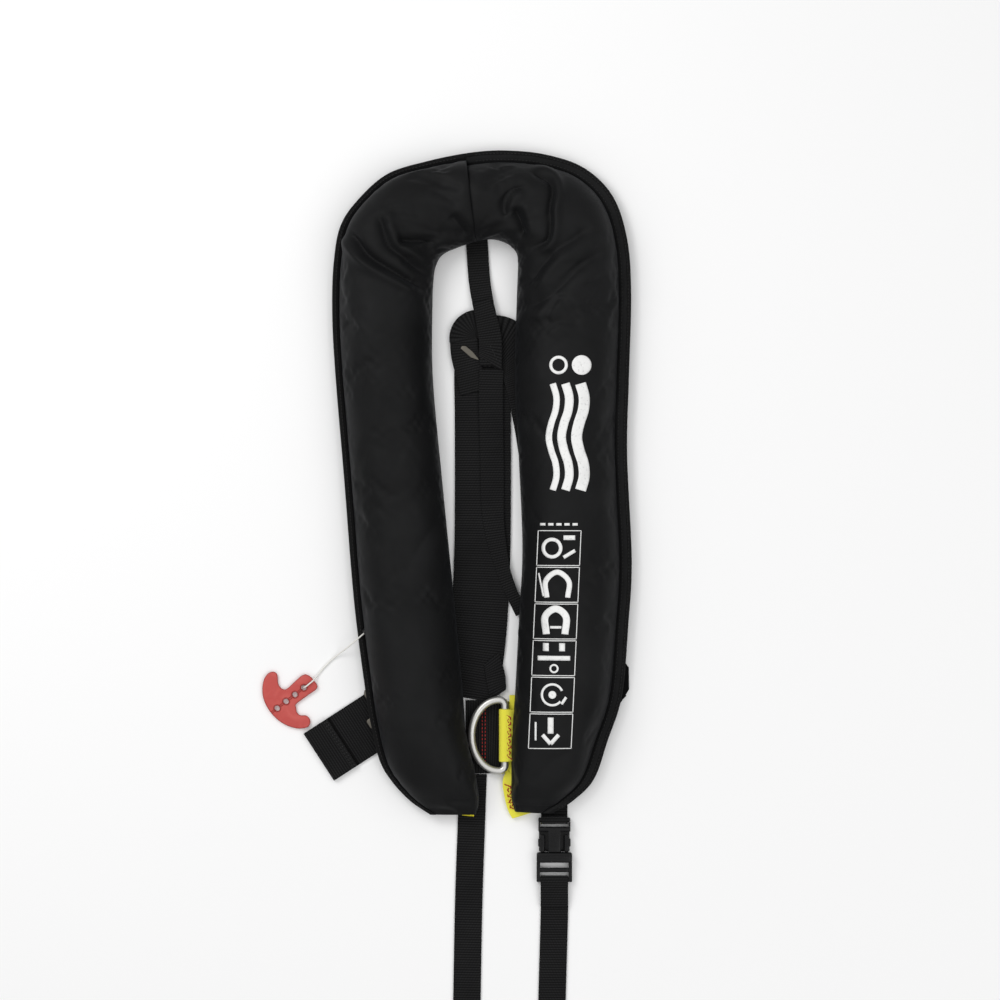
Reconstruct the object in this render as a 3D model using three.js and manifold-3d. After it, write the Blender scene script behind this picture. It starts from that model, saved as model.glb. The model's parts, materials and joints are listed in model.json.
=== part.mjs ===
// Inflatable life jacket, packed away in its cover and laid flat on its back.
// Millimetres. +Z is up from the surface it lies on, +Y runs towards the collar, +X to the wearer's left lobe.
// The origin is on the underside of the back panel, at the middle of the collar.
import * as THREE from 'three';
import { mergeVertices } from 'three/addons/utils/BufferGeometryUtils.js';
import Module from 'manifold-3d';

const wasm = await Module();
wasm.setup();

// ---------------------------------------------------------------- driving dimensions

const CLEARANCE = 0.3;            // running gap between pieces that touch
const WIDTH_SCALE = 1;            // width of the whole cover against its nominal width
const LOBE_HEIGHT = 48;           // top of a packed lobe above the surface
const COLLAR_HEIGHT = 42;         // top of the collar above the surface
const PANEL_THICKNESS = 7;        // padded back panel
const COVER_WALL = 1.5;           // cover cloth
const FLANGE_WIDTH = 12;          // flat outer seam with its hook and loop closure
const FLANGE_THICKNESS = 1.5;
const TAPE_THICKNESS = 1;         // one layer of hook or loop tape
const BINDING_THICKNESS = 1.2;
const STEPS_PER_STATION = 2;

const WEBBING = 2;                // thickness of harness webbing
const BELT_WIDTH = 49;
const BACK_STRAP_WIDTH = 19;
const CROTCH_WIDTH = 24;
const BECKET_WIDTH = 24;

const RING_WIRE = 6.5;            // diameter of the stainless wire
const RING_RADIUS = 31;           // bow of the D-ring, to the middle of the wire
const RING_BAR = new THREE.Vector2(21.8, -468);

const CYLINDER_RADIUS = 15;
const CYLINDER_LENGTH = 140;
const LEVER_ARM = 20;             // pivot to cord eye
const LEVER_STROKE = 25;          // travel of the pull cord
const CORD_DIAMETER = 1.4;
const CORD_HEIGHT = 14;           // cord where it leaves the cover
const HANDLE_THICKNESS = 3.5;
const TUBE_RADIUS = 6;            // oral inflation tube

const BUCKLE_RAIL = 3;            // side rail of the plug's ladder
const BUCKLE_PLAY = 0.5;          // between the strap and each rail
const BUCKLE_WIDTH = CROTCH_WIDTH + 2 * (BUCKLE_RAIL + BUCKLE_PLAY);
const BUCKLE_HEIGHT = 9;
const BUCKLE_TOP = -540;          // upper edge of the crotch buckle
const BUCKLE_X = 65;

// The cover from the end of one lobe, over the collar, to the end of the other: x and y of its edge at the
// neck, x and y of its outer seam, and the height of the packed cover above the surface.
const STATIONS = [
  [-3.5, -537, -42, -537, 15], [-1, -527, -59.5, -525, 24], [-2, -512, -75, -508.5, 34],
  [-6, -492, -86, -490, 41], [-12, -468, -93.5, -459.5, LOBE_HEIGHT],
  [-15, -429, -98.5, -429, LOBE_HEIGHT], [-22.5, -350, -108.5, -350, LOBE_HEIGHT],
  [-33, -245, -117, -245, LOBE_HEIGHT], [-41, -157.5, -125, -149, LOBE_HEIGHT],
  [-41.5, -96, -127.5, -96, LOBE_HEIGHT], [-40, -65.5, -126, -54, LOBE_HEIGHT],
  [-36, -52.5, -120, -23, LOBE_HEIGHT], [-30, -46.5, -104, 0, 46], [-22, -43, -79.5, 21, 44],
  [-14, -40, -46.5, 31.5, COLLAR_HEIGHT], [-2, -36.5, -9, 39, COLLAR_HEIGHT],
  [12, -35, 22, 41, COLLAR_HEIGHT], [23.5, -38.5, 57, 37.5, 44], [30, -44, 90, 26, 46],
  [33, -51, 114.5, 2, LOBE_HEIGHT], [33, -65.5, 127, -35, LOBE_HEIGHT],
  [32, -92, 130.5, -83, LOBE_HEIGHT], [30.5, -157.5, 128.5, -157.5, LOBE_HEIGHT],
  [34, -227.5, 127, -223, LOBE_HEIGHT], [37, -306, 131, -315, LOBE_HEIGHT],
  [34, -367.5, 128, -372, LOBE_HEIGHT], [30.5, -433, 122.5, -433, LOBE_HEIGHT],
  [27.5, -472.5, 110, -472.5, 44], [27.5, -503, 98, -506, 36], [27.5, -522.5, 79.5, -525, 24],
  [30.5, -534.5, 61, -536, 15],
];
const NAPE_STATION = 15;          // the station nearest the nape seam

// ---------------------------------------------------------------- meshes and solids

function meshFromTriangles(points, triangles) {
  const geometry = new THREE.BufferGeometry();
  geometry.setAttribute('position', new THREE.Float32BufferAttribute(points.flatMap((p) => [p.x, p.y, p.z]), 3));
  geometry.setIndex(triangles.flat());
  return geometry;
}

/** Joins rings of matching points into one closed body, with flat ends unless the rings form a loop. */
function loft(rings, outline, { loop = false } = {}) {
  const count = rings[0].length;
  const triangles = [];
  const spans = loop ? rings.length : rings.length - 1;
  for (let i = 0; i < spans; i += 1) {
    const low = i * count;
    const high = ((i + 1) % rings.length) * count;
    for (let j = 0; j < count; j += 1) {
      const next = (j + 1) % count;
      triangles.push([low + j, high + j, high + next], [low + j, high + next, low + next]);
    }
  }
  if (!loop) {
    const last = (rings.length - 1) * count;
    for (const [a, b, c] of THREE.ShapeUtils.triangulateShape(outline(0), [])) {
      triangles.push([a, b, c]);
    }
    for (const [a, b, c] of THREE.ShapeUtils.triangulateShape(outline(1), [])) {
      triangles.push([last + a, last + c, last + b]);
    }
  }
  return solid(meshFromTriangles(rings.flat(), triangles));
}

/** A closed three.js geometry as a solid, turned right side out if its faces point in. */
function solid(geometry) {
  const bare = geometry.clone();
  bare.deleteAttribute('normal');
  bare.deleteAttribute('uv');
  const merged = mergeVertices(bare, 1e-4);
  const vertProperties = new Float32Array(merged.attributes.position.array);
  const triVerts = new Uint32Array(merged.index.array);
  if (signedVolume(vertProperties, triVerts) < 0) {
    for (let i = 0; i < triVerts.length; i += 3) {
      [triVerts[i + 1], triVerts[i + 2]] = [triVerts[i + 2], triVerts[i + 1]];
    }
  }
  return new wasm.Manifold(new wasm.Mesh({ numProp: 3, vertProperties, triVerts }));
}

function signedVolume(positions, triangles) {
  const a = new THREE.Vector3();
  const b = new THREE.Vector3();
  const c = new THREE.Vector3();
  let volume = 0;
  for (let i = 0; i < triangles.length; i += 3) {
    a.fromArray(positions, 3 * triangles[i]);
    b.fromArray(positions, 3 * triangles[i + 1]);
    c.fromArray(positions, 3 * triangles[i + 2]);
    volume += a.dot(b.cross(c));
  }
  return volume / 6;
}

function geometryOf(body) {
  const { numProp, vertProperties, triVerts } = body.getMesh();
  const geometry = new THREE.BufferGeometry();
  geometry.setAttribute('position', new THREE.InterleavedBufferAttribute(
    new THREE.InterleavedBuffer(vertProperties, numProp), 3, 0));
  geometry.setIndex(new THREE.BufferAttribute(triVerts, 1));
  const flat = geometry.toNonIndexed();
  flat.computeVertexNormals();
  return flat;
}

/** A solid box from its low corner to its high corner. */
function block(low, high) {
  const size = high.map((value, axis) => value - low[axis]);
  const geometry = new THREE.BoxGeometry(...size);
  geometry.translate(...low.map((value, axis) => value + size[axis] / 2));
  return solid(geometry);
}

/** A solid cylinder between two points. */
function rod(from, to, radius, sides = 16) {
  const start = new THREE.Vector3(...from);
  const end = new THREE.Vector3(...to);
  const geometry = new THREE.CylinderGeometry(radius, radius, start.distanceTo(end), sides);
  const direction = end.clone().sub(start).normalize();
  geometry.applyQuaternion(new THREE.Quaternion().setFromUnitVectors(new THREE.Vector3(0, 1, 0), direction));
  geometry.translate(...start.add(end).multiplyScalar(0.5).toArray());
  return solid(geometry);
}

/** A round body turned about the Y axis from [radius, y] points, then moved to a place. */
function turned(profile, place, sides = 20) {
  const geometry = new THREE.LatheGeometry(profile.map(([r, y]) => new THREE.Vector2(r, y)), sides);
  geometry.translate(...place);
  return solid(geometry);
}

/** A body moved by shift, turned about Z, then moved to a place. */
function turnedAndMoved(body, shift, angle, place) {
  const geometry = geometryOf(body);
  geometry.translate(...shift, 0);
  geometry.rotateZ(angle);
  geometry.translate(...place, 0);
  return solid(geometry);
}

function rotatedAboutZ(body, angle, centre) {
  return turnedAndMoved(body, centre.map((value) => -value), angle, centre);
}

// ---------------------------------------------------------------- the cover's shape

function smoothLine(points) {
  return new THREE.CatmullRomCurve3(points, false, 'catmullrom', 0.5);
}

const neckEdge = smoothLine(STATIONS.map(([x, y]) => new THREE.Vector3(x, y, 0)));
const outerSeam = smoothLine(STATIONS.map(([, , x, y]) => new THREE.Vector3(x, y, 0)));
const crest = smoothLine(STATIONS.map(([, , , , height], i) => new THREE.Vector3(i, height, 0)));

/** The cover at a fraction of the way from one end to the other. */
function coverAt(u) {
  const neck = neckEdge.getPoint(u);
  const seam = outerSeam.getPoint(u);
  const half = (neck.distanceTo(seam) / 2) * WIDTH_SCALE;
  return { centre: neck.clone().lerp(seam, 0.5), outward: seam.sub(neck).normalize(), half, height: crest.getPoint(u).y };
}

/** A body along the cover between two fractions; section gives [offset outward, height] points. */
function alongCover(from, to, section) {
  const steps = (STATIONS.length - 1) * STEPS_PER_STATION;
  const inside = Array.from({ length: steps + 1 }, (_, i) => i / steps)
    .filter((u) => u > from + 0.002 && u < to - 0.002);
  const sections = [];
  const rings = [];
  for (const u of [from, ...inside, to]) {
    const place = coverAt(u);
    const points = section(place);
    sections.push(points.map(([s, z]) => new THREE.Vector2(s, z)));
    rings.push(points.map(([s, z]) => place.centre.clone().addScaledVector(place.outward, s).setZ(z)));
  }
  return loft(rings, (end) => sections[end * (sections.length - 1)]);
}

const TAPE_BASE = PANEL_THICKNESS + CLEARANCE;
const HOOK_BASE = TAPE_BASE + TAPE_THICKNESS + CLEARANCE;
const FLANGE_BASE = HOOK_BASE + TAPE_THICKNESS + CLEARANCE;
const FLANGE_TOP = FLANGE_BASE + FLANGE_THICKNESS;
const DOME_POINTS = 10;
const DOME_FULLNESS = 0.8;        // below 1 the dome is boxier than an ellipse

/** Points of a puffed dome from the outward side over the top to the inward side. */
function dome(inward, outward, base, top) {
  const middle = (inward + outward) / 2;
  const reach = (outward - inward) / 2;
  const points = [];
  for (let i = 0; i <= DOME_POINTS; i += 1) {
    const angle = (Math.PI * i) / DOME_POINTS;
    const across = Math.sign(Math.cos(angle)) * Math.abs(Math.cos(angle)) ** DOME_FULLNESS;
    const up = Math.sin(angle) ** DOME_FULLNESS;
    points.push([middle + reach * across, base + (top - base) * up]);
  }
  return points;
}

function frontSection({ half, height }) {
  const wall = half - Math.min(FLANGE_WIDTH, half / 2);
  const over = dome(-half, wall, FLANGE_TOP, height);
  return [[half, FLANGE_BASE], [half, FLANGE_TOP], ...over,
    [-half, TAPE_BASE], [wall, TAPE_BASE], [wall, FLANGE_BASE]];
}

function hollowSection({ half, height }) {
  const wall = half - Math.min(FLANGE_WIDTH, half / 2) - COVER_WALL;
  const low = PANEL_THICKNESS - 2;
  const over = dome(-half + COVER_WALL, wall, FLANGE_TOP, height - COVER_WALL);
  return [...over, [-half + COVER_WALL, low], [wall, low]];
}

function bladderSection({ half, height }) {
  const inset = COVER_WALL + 2;
  const wall = half - Math.min(FLANGE_WIDTH, half / 2) - inset;
  const over = dome(-half + inset, wall, FLANGE_TOP, height - inset);
  return [...over, [-half + inset, TAPE_BASE], [wall, TAPE_BASE]];
}

function panelSection({ half }) {
  return [[half, 0], [half, PANEL_THICKNESS], [-half, PANEL_THICKNESS], [-half, 0]];
}

function tapeSection(base) {
  return ({ half }) => {
    const inner = half - Math.min(FLANGE_WIDTH, half / 2) + 0.5;
    return [[half - 0.5, base], [half - 0.5, base + TAPE_THICKNESS], [inner, base + TAPE_THICKNESS], [inner, base]];
  };
}

function bindingSection({ half }) {
  const inner = half + CLEARANCE;
  const outer = inner + BINDING_THICKNESS;
  return [[outer, 5], [outer, FLANGE_TOP], [inner, FLANGE_TOP], [inner, 5]];
}

const TIP = 0.004;                // how far the hollow stops short of a lobe's end
const stationAt = (index) => index / (STATIONS.length - 1);
const NAPE_GAP = 0.0003;
const nape = stationAt(NAPE_STATION) - 0.0035;

// ---------------------------------------------------------------- webbing

/**
 * A flat strap along [x, y, z] points on its underside. It lies flat unless side names the
 * direction of its width, for a strap that wraps over a bar.
 */
function strap(points, width, { thickness = WEBBING, side = null, steps = 0, straight = false } = {}) {
  const corners = points.map((p) => new THREE.Vector3(...p));
  const curve = new THREE.CatmullRomCurve3(corners, false, 'centripetal');
  const count = straight ? corners.length - 1 : steps || (corners.length - 1) * 4;
  const widths = Array.isArray(width) ? width : [width, width];
  const rings = [];
  for (let i = 0; i <= count; i += 1) {
    const u = i / count;
    const point = straight ? corners[i] : curve.getPoint(u);
    const tangent = straight ? bend(corners, i) : curve.getTangent(u);
    const across = side ? new THREE.Vector3(...side) : new THREE.Vector3(-tangent.y, tangent.x, 0).normalize();
    const normal = side ? across.clone().cross(tangent).normalize() : new THREE.Vector3(0, 0, 1);
    const half = blend(widths, u) / 2;
    const stretch = straight && side ? mitre(corners, i) : 1;
    rings.push([[-1, 0], [1, 0], [1, 1], [-1, 1]].map(([s, up]) => point.clone()
      .addScaledVector(across, s * half).addScaledVector(normal, up * thickness * stretch)));
  }
  const flat = [[-1, 0], [1, 0], [1, 1], [-1, 1]].map(([s, up]) => new THREE.Vector2(s, up));
  return loft(rings, () => flat);
}

function bend(corners, i) {
  const before = corners[Math.max(i - 1, 0)];
  const after = corners[Math.min(i + 1, corners.length - 1)];
  const here = corners[i];
  const arriving = here.clone().sub(before).normalize();
  const leaving = after.clone().sub(here).normalize();
  return arriving.add(leaving).normalize();
}

function mitre(corners, i) {
  if (i === 0 || i === corners.length - 1) {
    return 1;
  }
  const arriving = corners[i].clone().sub(corners[i - 1]).normalize();
  const leaving = corners[i + 1].clone().sub(corners[i]).normalize();
  return 1 / Math.cos(arriving.angleTo(leaving) / 2);
}

function blend(values, u) {
  const place = u * (values.length - 1);
  const low = Math.min(Math.floor(place), values.length - 2);
  return values[low] + (values[low + 1] - values[low]) * (place - low);
}

// Layers of webbing under the panel, counted from the surface up.
const LAYER = WEBBING + CLEARANCE;
const FIRST = 0;
const SECOND = LAYER;

const ROUTES = {
  backStrap: [[-4, -16, FIRST], [-2.5, -40, 0.3], [-0.5, -70, 1.5], [3, -92, 4.9], [6, -105, 5.4],
    [9, -125, 5.4], [9.5, -145, 5.4]],
  beltLeft: [[4, -118, FIRST], [2, -150, FIRST], [2.5, -200, FIRST], [2, -310, FIRST], [-2, -385, FIRST],
    [-10, -436, FIRST]],
  beltRight: [[3, -124, SECOND], [20, -125, SECOND], [40, -146, SECOND], [52, -190, SECOND],
    [63, -250, SECOND], [80, -335, SECOND], [91, -395, SECOND]],
  strapTail: [[10, -148.5, SECOND + LAYER], [7.5, -200, SECOND], [9, -250, SECOND], [18, -310, SECOND],
    [38, -368, SECOND]],
  ringWebbing: [[0, -470, FIRST], [40, -469, FIRST], [74, -456, FIRST], [110, -417, FIRST]],
  beltTail: [[-141, -487.5, FIRST], [-43, -424, FIRST]],
  becket: [[31, -433, SECOND], [29.5, -470, SECOND], [29.5, -520, SECOND], [30, -537, SECOND]],
};

const BELT_RIGHT_WIDTHS = [44, 46, 49, 49, 49];
const CROTCH_BACK = [[-6, -502, FIRST], [-7.5, -545, FIRST], [-10, -620, FIRST], [-12, -735, FIRST]];

/** The hollow that a strap needs in the panel above it, up to the top of its layer. */
function grooveFor(points, width, top) {
  const widths = (Array.isArray(width) ? width : [width, width]).map((w) => w + 2);
  const depth = 3;
  const route = points.map(([x, y]) => new THREE.Vector3(x, y, -depth));
  const start = route[0].clone().addScaledVector(route[1].clone().sub(route[0]).normalize(), -1);
  const last = route.length - 1;
  const end = route[last].clone().addScaledVector(route[last].clone().sub(route[last - 1]).normalize(), 1);
  const longer = [start, ...route.slice(1, last), end].map((p) => p.toArray());
  return strap(longer, widths, { thickness: depth + top + CLEARANCE });
}

// ---------------------------------------------------------------- cord and handle

const PULL = new THREE.Vector3(-0.76, -0.65, 0).normalize();
const CORD_ROUTE = [
  [-70, -352.2, CORD_HEIGHT], [-88, -367.6, CORD_HEIGHT], [-102, -379.6, CORD_HEIGHT],
  [-108, -384.7, CORD_HEIGHT - 0.7], [-113.5, -389.3, 11], [-118, -393, 7], [-122.5, -396.5, 3],
  [-128, -400.8, 1.1], [-134, -406.5, 0.9], [-139, -412, 0.9], [-143, -417, 1.6], [-146.2, -420.6, 4.2],
  [-149, -423, 5.2], [-151.8, -425.2, 4.9], [-153.6, -426.4, 3.4], [-154, -426.7, 1.6],
];
const EYE = new THREE.Vector3(-66.5, -349.2, CORD_HEIGHT);
const LEVER_ANGLE = LEVER_STROKE / LEVER_ARM;
const across = new THREE.Vector3(PULL.y, -PULL.x, 0);
const leverRest = across.clone().multiplyScalar(Math.cos(LEVER_ANGLE / 2))
  .addScaledVector(PULL, -Math.sin(LEVER_ANGLE / 2));
const PIVOT = EYE.clone().addScaledVector(leverRest, -LEVER_ARM);

function pullCord() {
  const curve = new THREE.CatmullRomCurve3(CORD_ROUTE.map((p) => new THREE.Vector3(...p)));
  const section = new THREE.Shape();
  const sides = 8;
  for (let i = 0; i < sides; i += 1) {
    const angle = (2 * Math.PI * i) / sides;
    const point = [Math.cos(angle) * CORD_DIAMETER / 2, Math.sin(angle) * CORD_DIAMETER / 2];
    if (i === 0) {
      section.moveTo(...point);
    } else {
      section.lineTo(...point);
    }
  }
  return solid(new THREE.ExtrudeGeometry(section, { steps: 36, extrudePath: curve, bevelEnabled: false }));
}

const HANDLE_CENTRE = [-165.7, -435.6];
const HANDLE_ANGLE = Math.atan2(0.61, 0.79);
const HORN = { centre: 5.5, outer: 27.5, inner: 17.5 };
const STEM = { half: 8.75, end: 23.5, holes: [14.7, 4.9, -4.9, -14.7], hole: 2.35 };

/** The anchor-shaped pull handle: a curved bow across the end of a stem with four holes. */
function pullHandle() {
  const outline = new THREE.Shape();
  const spread = THREE.MathUtils.degToRad(82);
  const cap = (HORN.outer - HORN.inner) / 2;
  const middle = (HORN.outer + HORN.inner) / 2;
  const root = Math.asin(STEM.half / HORN.inner);
  outline.absarc(HORN.centre, 0, HORN.outer, Math.PI - spread, Math.PI + spread, false);
  const lowTip = [HORN.centre + middle * Math.cos(Math.PI + spread), middle * Math.sin(Math.PI + spread)];
  outline.absarc(...lowTip, cap, Math.PI + spread, 2 * Math.PI + spread, false);
  outline.absarc(HORN.centre, 0, HORN.inner, Math.PI + spread, Math.PI + root, true);
  outline.lineTo(STEM.end - 4, -STEM.half);
  outline.absarc(STEM.end - 4, -STEM.half + 4, 4, -Math.PI / 2, 0, false);
  outline.absarc(STEM.end - 4, STEM.half - 4, 4, 0, Math.PI / 2, false);
  outline.absarc(HORN.centre, 0, HORN.inner, Math.PI - root, Math.PI - spread, true);
  const highTip = [lowTip[0], -lowTip[1]];
  outline.absarc(...highTip, cap, -spread, Math.PI - spread, false);
  for (const x of STEM.holes) {
    const hole = new THREE.Path();
    hole.absarc(x, 0, STEM.hole, 0, 2 * Math.PI, true);
    outline.holes.push(hole);
  }
  const geometry = new THREE.ExtrudeGeometry(outline, { depth: HANDLE_THICKNESS, bevelEnabled: false, curveSegments: 8 });
  geometry.rotateZ(HANDLE_ANGLE);
  geometry.translate(...HANDLE_CENTRE, 0);
  return solid(geometry);
}

function inflatorLever() {
  const low = CORD_HEIGHT - 2.5;
  const high = CORD_HEIGHT + 2.5;
  const eye = rod([EYE.x, EYE.y, low], [EYE.x, EYE.y, high], 4);
  const hub = rod([PIVOT.x, PIVOT.y, low], [PIVOT.x, PIVOT.y, high], 4.5);
  const arm = strap([[PIVOT.x, PIVOT.y, low], [EYE.x, EYE.y, low]], 6, { thickness: 5, steps: 1 });
  const bore = rod([PIVOT.x, PIVOT.y, low - 1], [PIVOT.x, PIVOT.y, high + 1], LEVER_PIN + CLEARANCE);
  const hole = rod([EYE.x, EYE.y, low - 1], [EYE.x, EYE.y, high + 1], 1.4, 10);
  return eye.add(hub).add(arm).subtract(bore).subtract(hole);
}

// ---------------------------------------------------------------- inflator

const LEVER_PIN = 2;
const BODY_LOW = [-74, -384, CORD_HEIGHT + 3];
const BODY_HIGH = [-44, -345, 40];
const BODY_MIDDLE = [-59, -364.5, 27];
const LOBE_LEAN = 0.09;           // the lobe's lean from straight up the page, in radians
const LEAN_CENTRE = [BODY_MIDDLE[0], BODY_HIGH[1]];

function inflatorBody() {
  const seat = rod([PIVOT.x, PIVOT.y, BODY_LOW[2] - 1], [PIVOT.x, PIVOT.y, 30], LEVER_PIN + CLEARANCE);
  const neck = rod([BODY_MIDDLE[0], BODY_LOW[1] - 4, BODY_MIDDLE[2]],
    [BODY_MIDDLE[0], BODY_HIGH[1] + 6, BODY_MIDDLE[2]], 10);
  const stem = rod([MANIFOLD[0], MANIFOLD[1], BODY_LOW[2] - 1], [MANIFOLD[0], MANIFOLD[1], BODY_HIGH[2] + 1],
    MANIFOLD_STEM + CLEARANCE);
  return block(BODY_LOW, BODY_HIGH).add(neck).subtract(seat).subtract(stem);
}

const MANIFOLD = [-50, -352];
const MANIFOLD_STEM = 3.5;

function manifoldValve() {
  return rod([...MANIFOLD, 9.8], [...MANIFOLD, BODY_LOW[2] - CLEARANCE], 7)
    .add(rod([...MANIFOLD, 12], [...MANIFOLD, 43], MANIFOLD_STEM));
}

function manifoldNut() {
  const hole = rod([...MANIFOLD, 38], [...MANIFOLD, 46], MANIFOLD_STEM + CLEARANCE);
  return rod([...MANIFOLD, BODY_HIGH[2] + CLEARANCE], [...MANIFOLD, 43], 6, 6).subtract(hole);
}

function cylinderProfile() {
  const neck = 6.5;
  const start = 7;
  return [[0, start], [neck, start], [neck, start + 6], [CYLINDER_RADIUS - 3, start + 14],
    [CYLINDER_RADIUS, start + 20], [CYLINDER_RADIUS, CYLINDER_LENGTH - 10],
    [CYLINDER_RADIUS - 4, CYLINDER_LENGTH - 2], [0, CYLINDER_LENGTH]];
}

function co2Cylinder() {
  const body = turned(cylinderProfile(), [BODY_MIDDLE[0], BODY_HIGH[1], BODY_MIDDLE[2]]);
  return rotatedAboutZ(body, LOBE_LEAN, LEAN_CENTRE);
}

const CARTRIDGE_END = BODY_LOW[1] - 4 - CLEARANCE;

function sensingCartridge() {
  return turned([[0, -16], [9, -16], [11, -14], [11, 0], [0, 0]],
    [BODY_MIDDLE[0], CARTRIDGE_END, BODY_MIDDLE[2]]);
}

function cartridgeCap() {
  return turned([[0, -8], [10, -8], [12, -6], [12, 0], [0, 0]],
    [BODY_MIDDLE[0], CARTRIDGE_END - 16 - CLEARANCE, BODY_MIDDLE[2]]);
}

/** Room that the bladder leaves for the inflator, open at the top. */
function inflatorPocket() {
  const ceiling = 60;
  const around = block([-93, -418, 9.5], [-38, -339, ceiling]);
  const cylinder = rotatedAboutZ(
    block([BODY_MIDDLE[0] - CYLINDER_RADIUS - 2, -342, 9.5],
      [BODY_MIDDLE[0] + CYLINDER_RADIUS + 2, BODY_HIGH[1] + CYLINDER_LENGTH + 4, ceiling]),
    LOBE_LEAN, LEAN_CENTRE);
  return around.add(cylinder);
}

function cordChannel(width, low, high) {
  return strap([[-60, -343.6, low], [-112, -388.1, low]], width, { thickness: high - low, steps: 1 });
}

// ---------------------------------------------------------------- oral tube and whistle

const TUBE = { x: 84, low: -350, high: -235, z: 26 };

function oralTube() {
  const outer = rod([TUBE.x, TUBE.low, TUBE.z], [TUBE.x, TUBE.high, TUBE.z], TUBE_RADIUS);
  const bore = rod([TUBE.x, TUBE.low + 6, TUBE.z], [TUBE.x, TUBE.high + 1, TUBE.z], TUBE_RADIUS - 2);
  const foot = rod([TUBE.x, TUBE.low + 6, 9.8], [TUBE.x, TUBE.low + 6, TUBE.z], TUBE_RADIUS);
  return outer.add(foot).subtract(bore);
}

function oralValve() {
  return turned([[0, -10], [TUBE_RADIUS - 2 - CLEARANCE, -10], [TUBE_RADIUS - 2 - CLEARANCE, CLEARANCE],
    [TUBE_RADIUS + 1, CLEARANCE], [TUBE_RADIUS + 1, 4], [4, 4], [4, 10], [0, 10]],
  [TUBE.x, TUBE.high, TUBE.z]);
}

function oralCap() {
  return turned([[0, 10 + CLEARANCE], [4 + CLEARANCE, 10 + CLEARANCE], [4 + CLEARANCE, 4 + CLEARANCE],
    [8, 4 + CLEARANCE], [8, 13], [0, 13]], [TUBE.x, TUBE.high, TUBE.z]);
}

const WHISTLE = { x: 62, y: -300, z: 22 };

function whistle() {
  const barrel = rod([WHISTLE.x, WHISTLE.y, WHISTLE.z - 7], [WHISTLE.x, WHISTLE.y, WHISTLE.z + 7], 9);
  const mouth = block([WHISTLE.x - 4, WHISTLE.y, WHISTLE.z - 6], [WHISTLE.x + 4, WHISTLE.y + 32, WHISTLE.z + 4]);
  const slot = block([WHISTLE.x - 5, WHISTLE.y + 8, WHISTLE.z + 1], [WHISTLE.x + 5, WHISTLE.y + 12, WHISTLE.z + 9]);
  return barrel.add(mouth).subtract(slot);
}

function whistleLanyard() {
  return strap([[WHISTLE.x + 1, WHISTLE.y - 9.6, WHISTLE.z - 4], [WHISTLE.x + 8, WHISTLE.y - 26, 14],
    [TUBE.x - 9, TUBE.low + 2, 10.2]], 5, { thickness: 1 });
}

function tubePocket() {
  return block([TUBE.x - 33, TUBE.low - 9, 9.5], [TUBE.x + 12, TUBE.high + 34, 60]);
}

// ---------------------------------------------------------------- tether ring and hook

/** A closed ring of round wire through points in a level plane. */
function wireLoop(points, radius, height, sides = 8) {
  const outline = (p) => new THREE.Vector3(p.x, p.y, height);
  const rings = points.map((point, i) => {
    const before = points[(i + points.length - 1) % points.length];
    const after = points[(i + 1) % points.length];
    const tangent = outline(after).sub(outline(before)).normalize();
    const normal = new THREE.Vector3(-tangent.y, tangent.x, 0);
    return Array.from({ length: sides }, (_, k) => {
      const angle = (2 * Math.PI * (k + 0.5)) / sides;
      return outline(point).addScaledVector(normal, radius * Math.cos(angle))
        .add(new THREE.Vector3(0, 0, radius * Math.sin(angle)));
    });
  });
  return loft(rings, null, { loop: true });
}

const BECKET = 1.6;               // thickness of the becket's webbing
const RING_PLAY = CLEARANCE + 0.1;
const RING_HEIGHT = SECOND + BECKET + RING_PLAY + RING_WIRE / 2;
const RING_CORNER = 5;
const RING_DEPTH = 24;            // from the ends of the bow to its middle
const BOW_STEPS = 17;

/** Middle of the D-ring's wire: a straight bar and a half-round bow joined by small corners. */
function ringLine() {
  const bowX = RING_BAR.x - RING_CORNER;
  const straight = RING_RADIUS - RING_CORNER;
  const corner = (y, from) => Array.from({ length: 4 }, (_, i) => {
    const angle = from + (Math.PI / 2) * (i / 3);
    return new THREE.Vector2(bowX + RING_CORNER * Math.cos(angle), y + RING_CORNER * Math.sin(angle));
  });
  const bow = Array.from({ length: BOW_STEPS - 1 }, (_, i) => {
    const angle = Math.PI / 2 + (Math.PI * (i + 1)) / BOW_STEPS;
    return new THREE.Vector2(bowX + RING_DEPTH * Math.cos(angle), RING_BAR.y + RING_RADIUS * Math.sin(angle));
  });
  return [...corner(RING_BAR.y + straight, 0), ...bow, ...corner(RING_BAR.y - straight, -Math.PI / 2)];
}

/** The becket's sleeve around the ring's bar. */
function becketSleeve() {
  const half = RING_RADIUS - RING_CORNER - 3;
  const inner = RING_WIRE / 2 + RING_PLAY;
  const outer = rod([RING_BAR.x, RING_BAR.y - half, RING_HEIGHT], [RING_BAR.x, RING_BAR.y + half, RING_HEIGHT], inner + BECKET);
  const bore = rod([RING_BAR.x, RING_BAR.y - half - 1, RING_HEIGHT], [RING_BAR.x, RING_BAR.y + half + 1, RING_HEIGHT], inner);
  return outer.subtract(bore);
}

const HOOK = { x: -76.4, y: -445.7, angle: 0.575, z: SECOND };
const HOOK_TONGUE = { from: -25, half: 4.5 };

function hookPlate(low, high, margin) {
  const plate = block([-14 - margin, -31 - margin, low], [14 + margin, 31 + margin, high])
    .add(block([HOOK_TONGUE.from - margin, -HOOK_TONGUE.half - margin, low], [-13, HOOK_TONGUE.half + margin, high]));
  return turnedAndMoved(plate, [0, 0], HOOK.angle, [HOOK.x, HOOK.y]);
}

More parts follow.
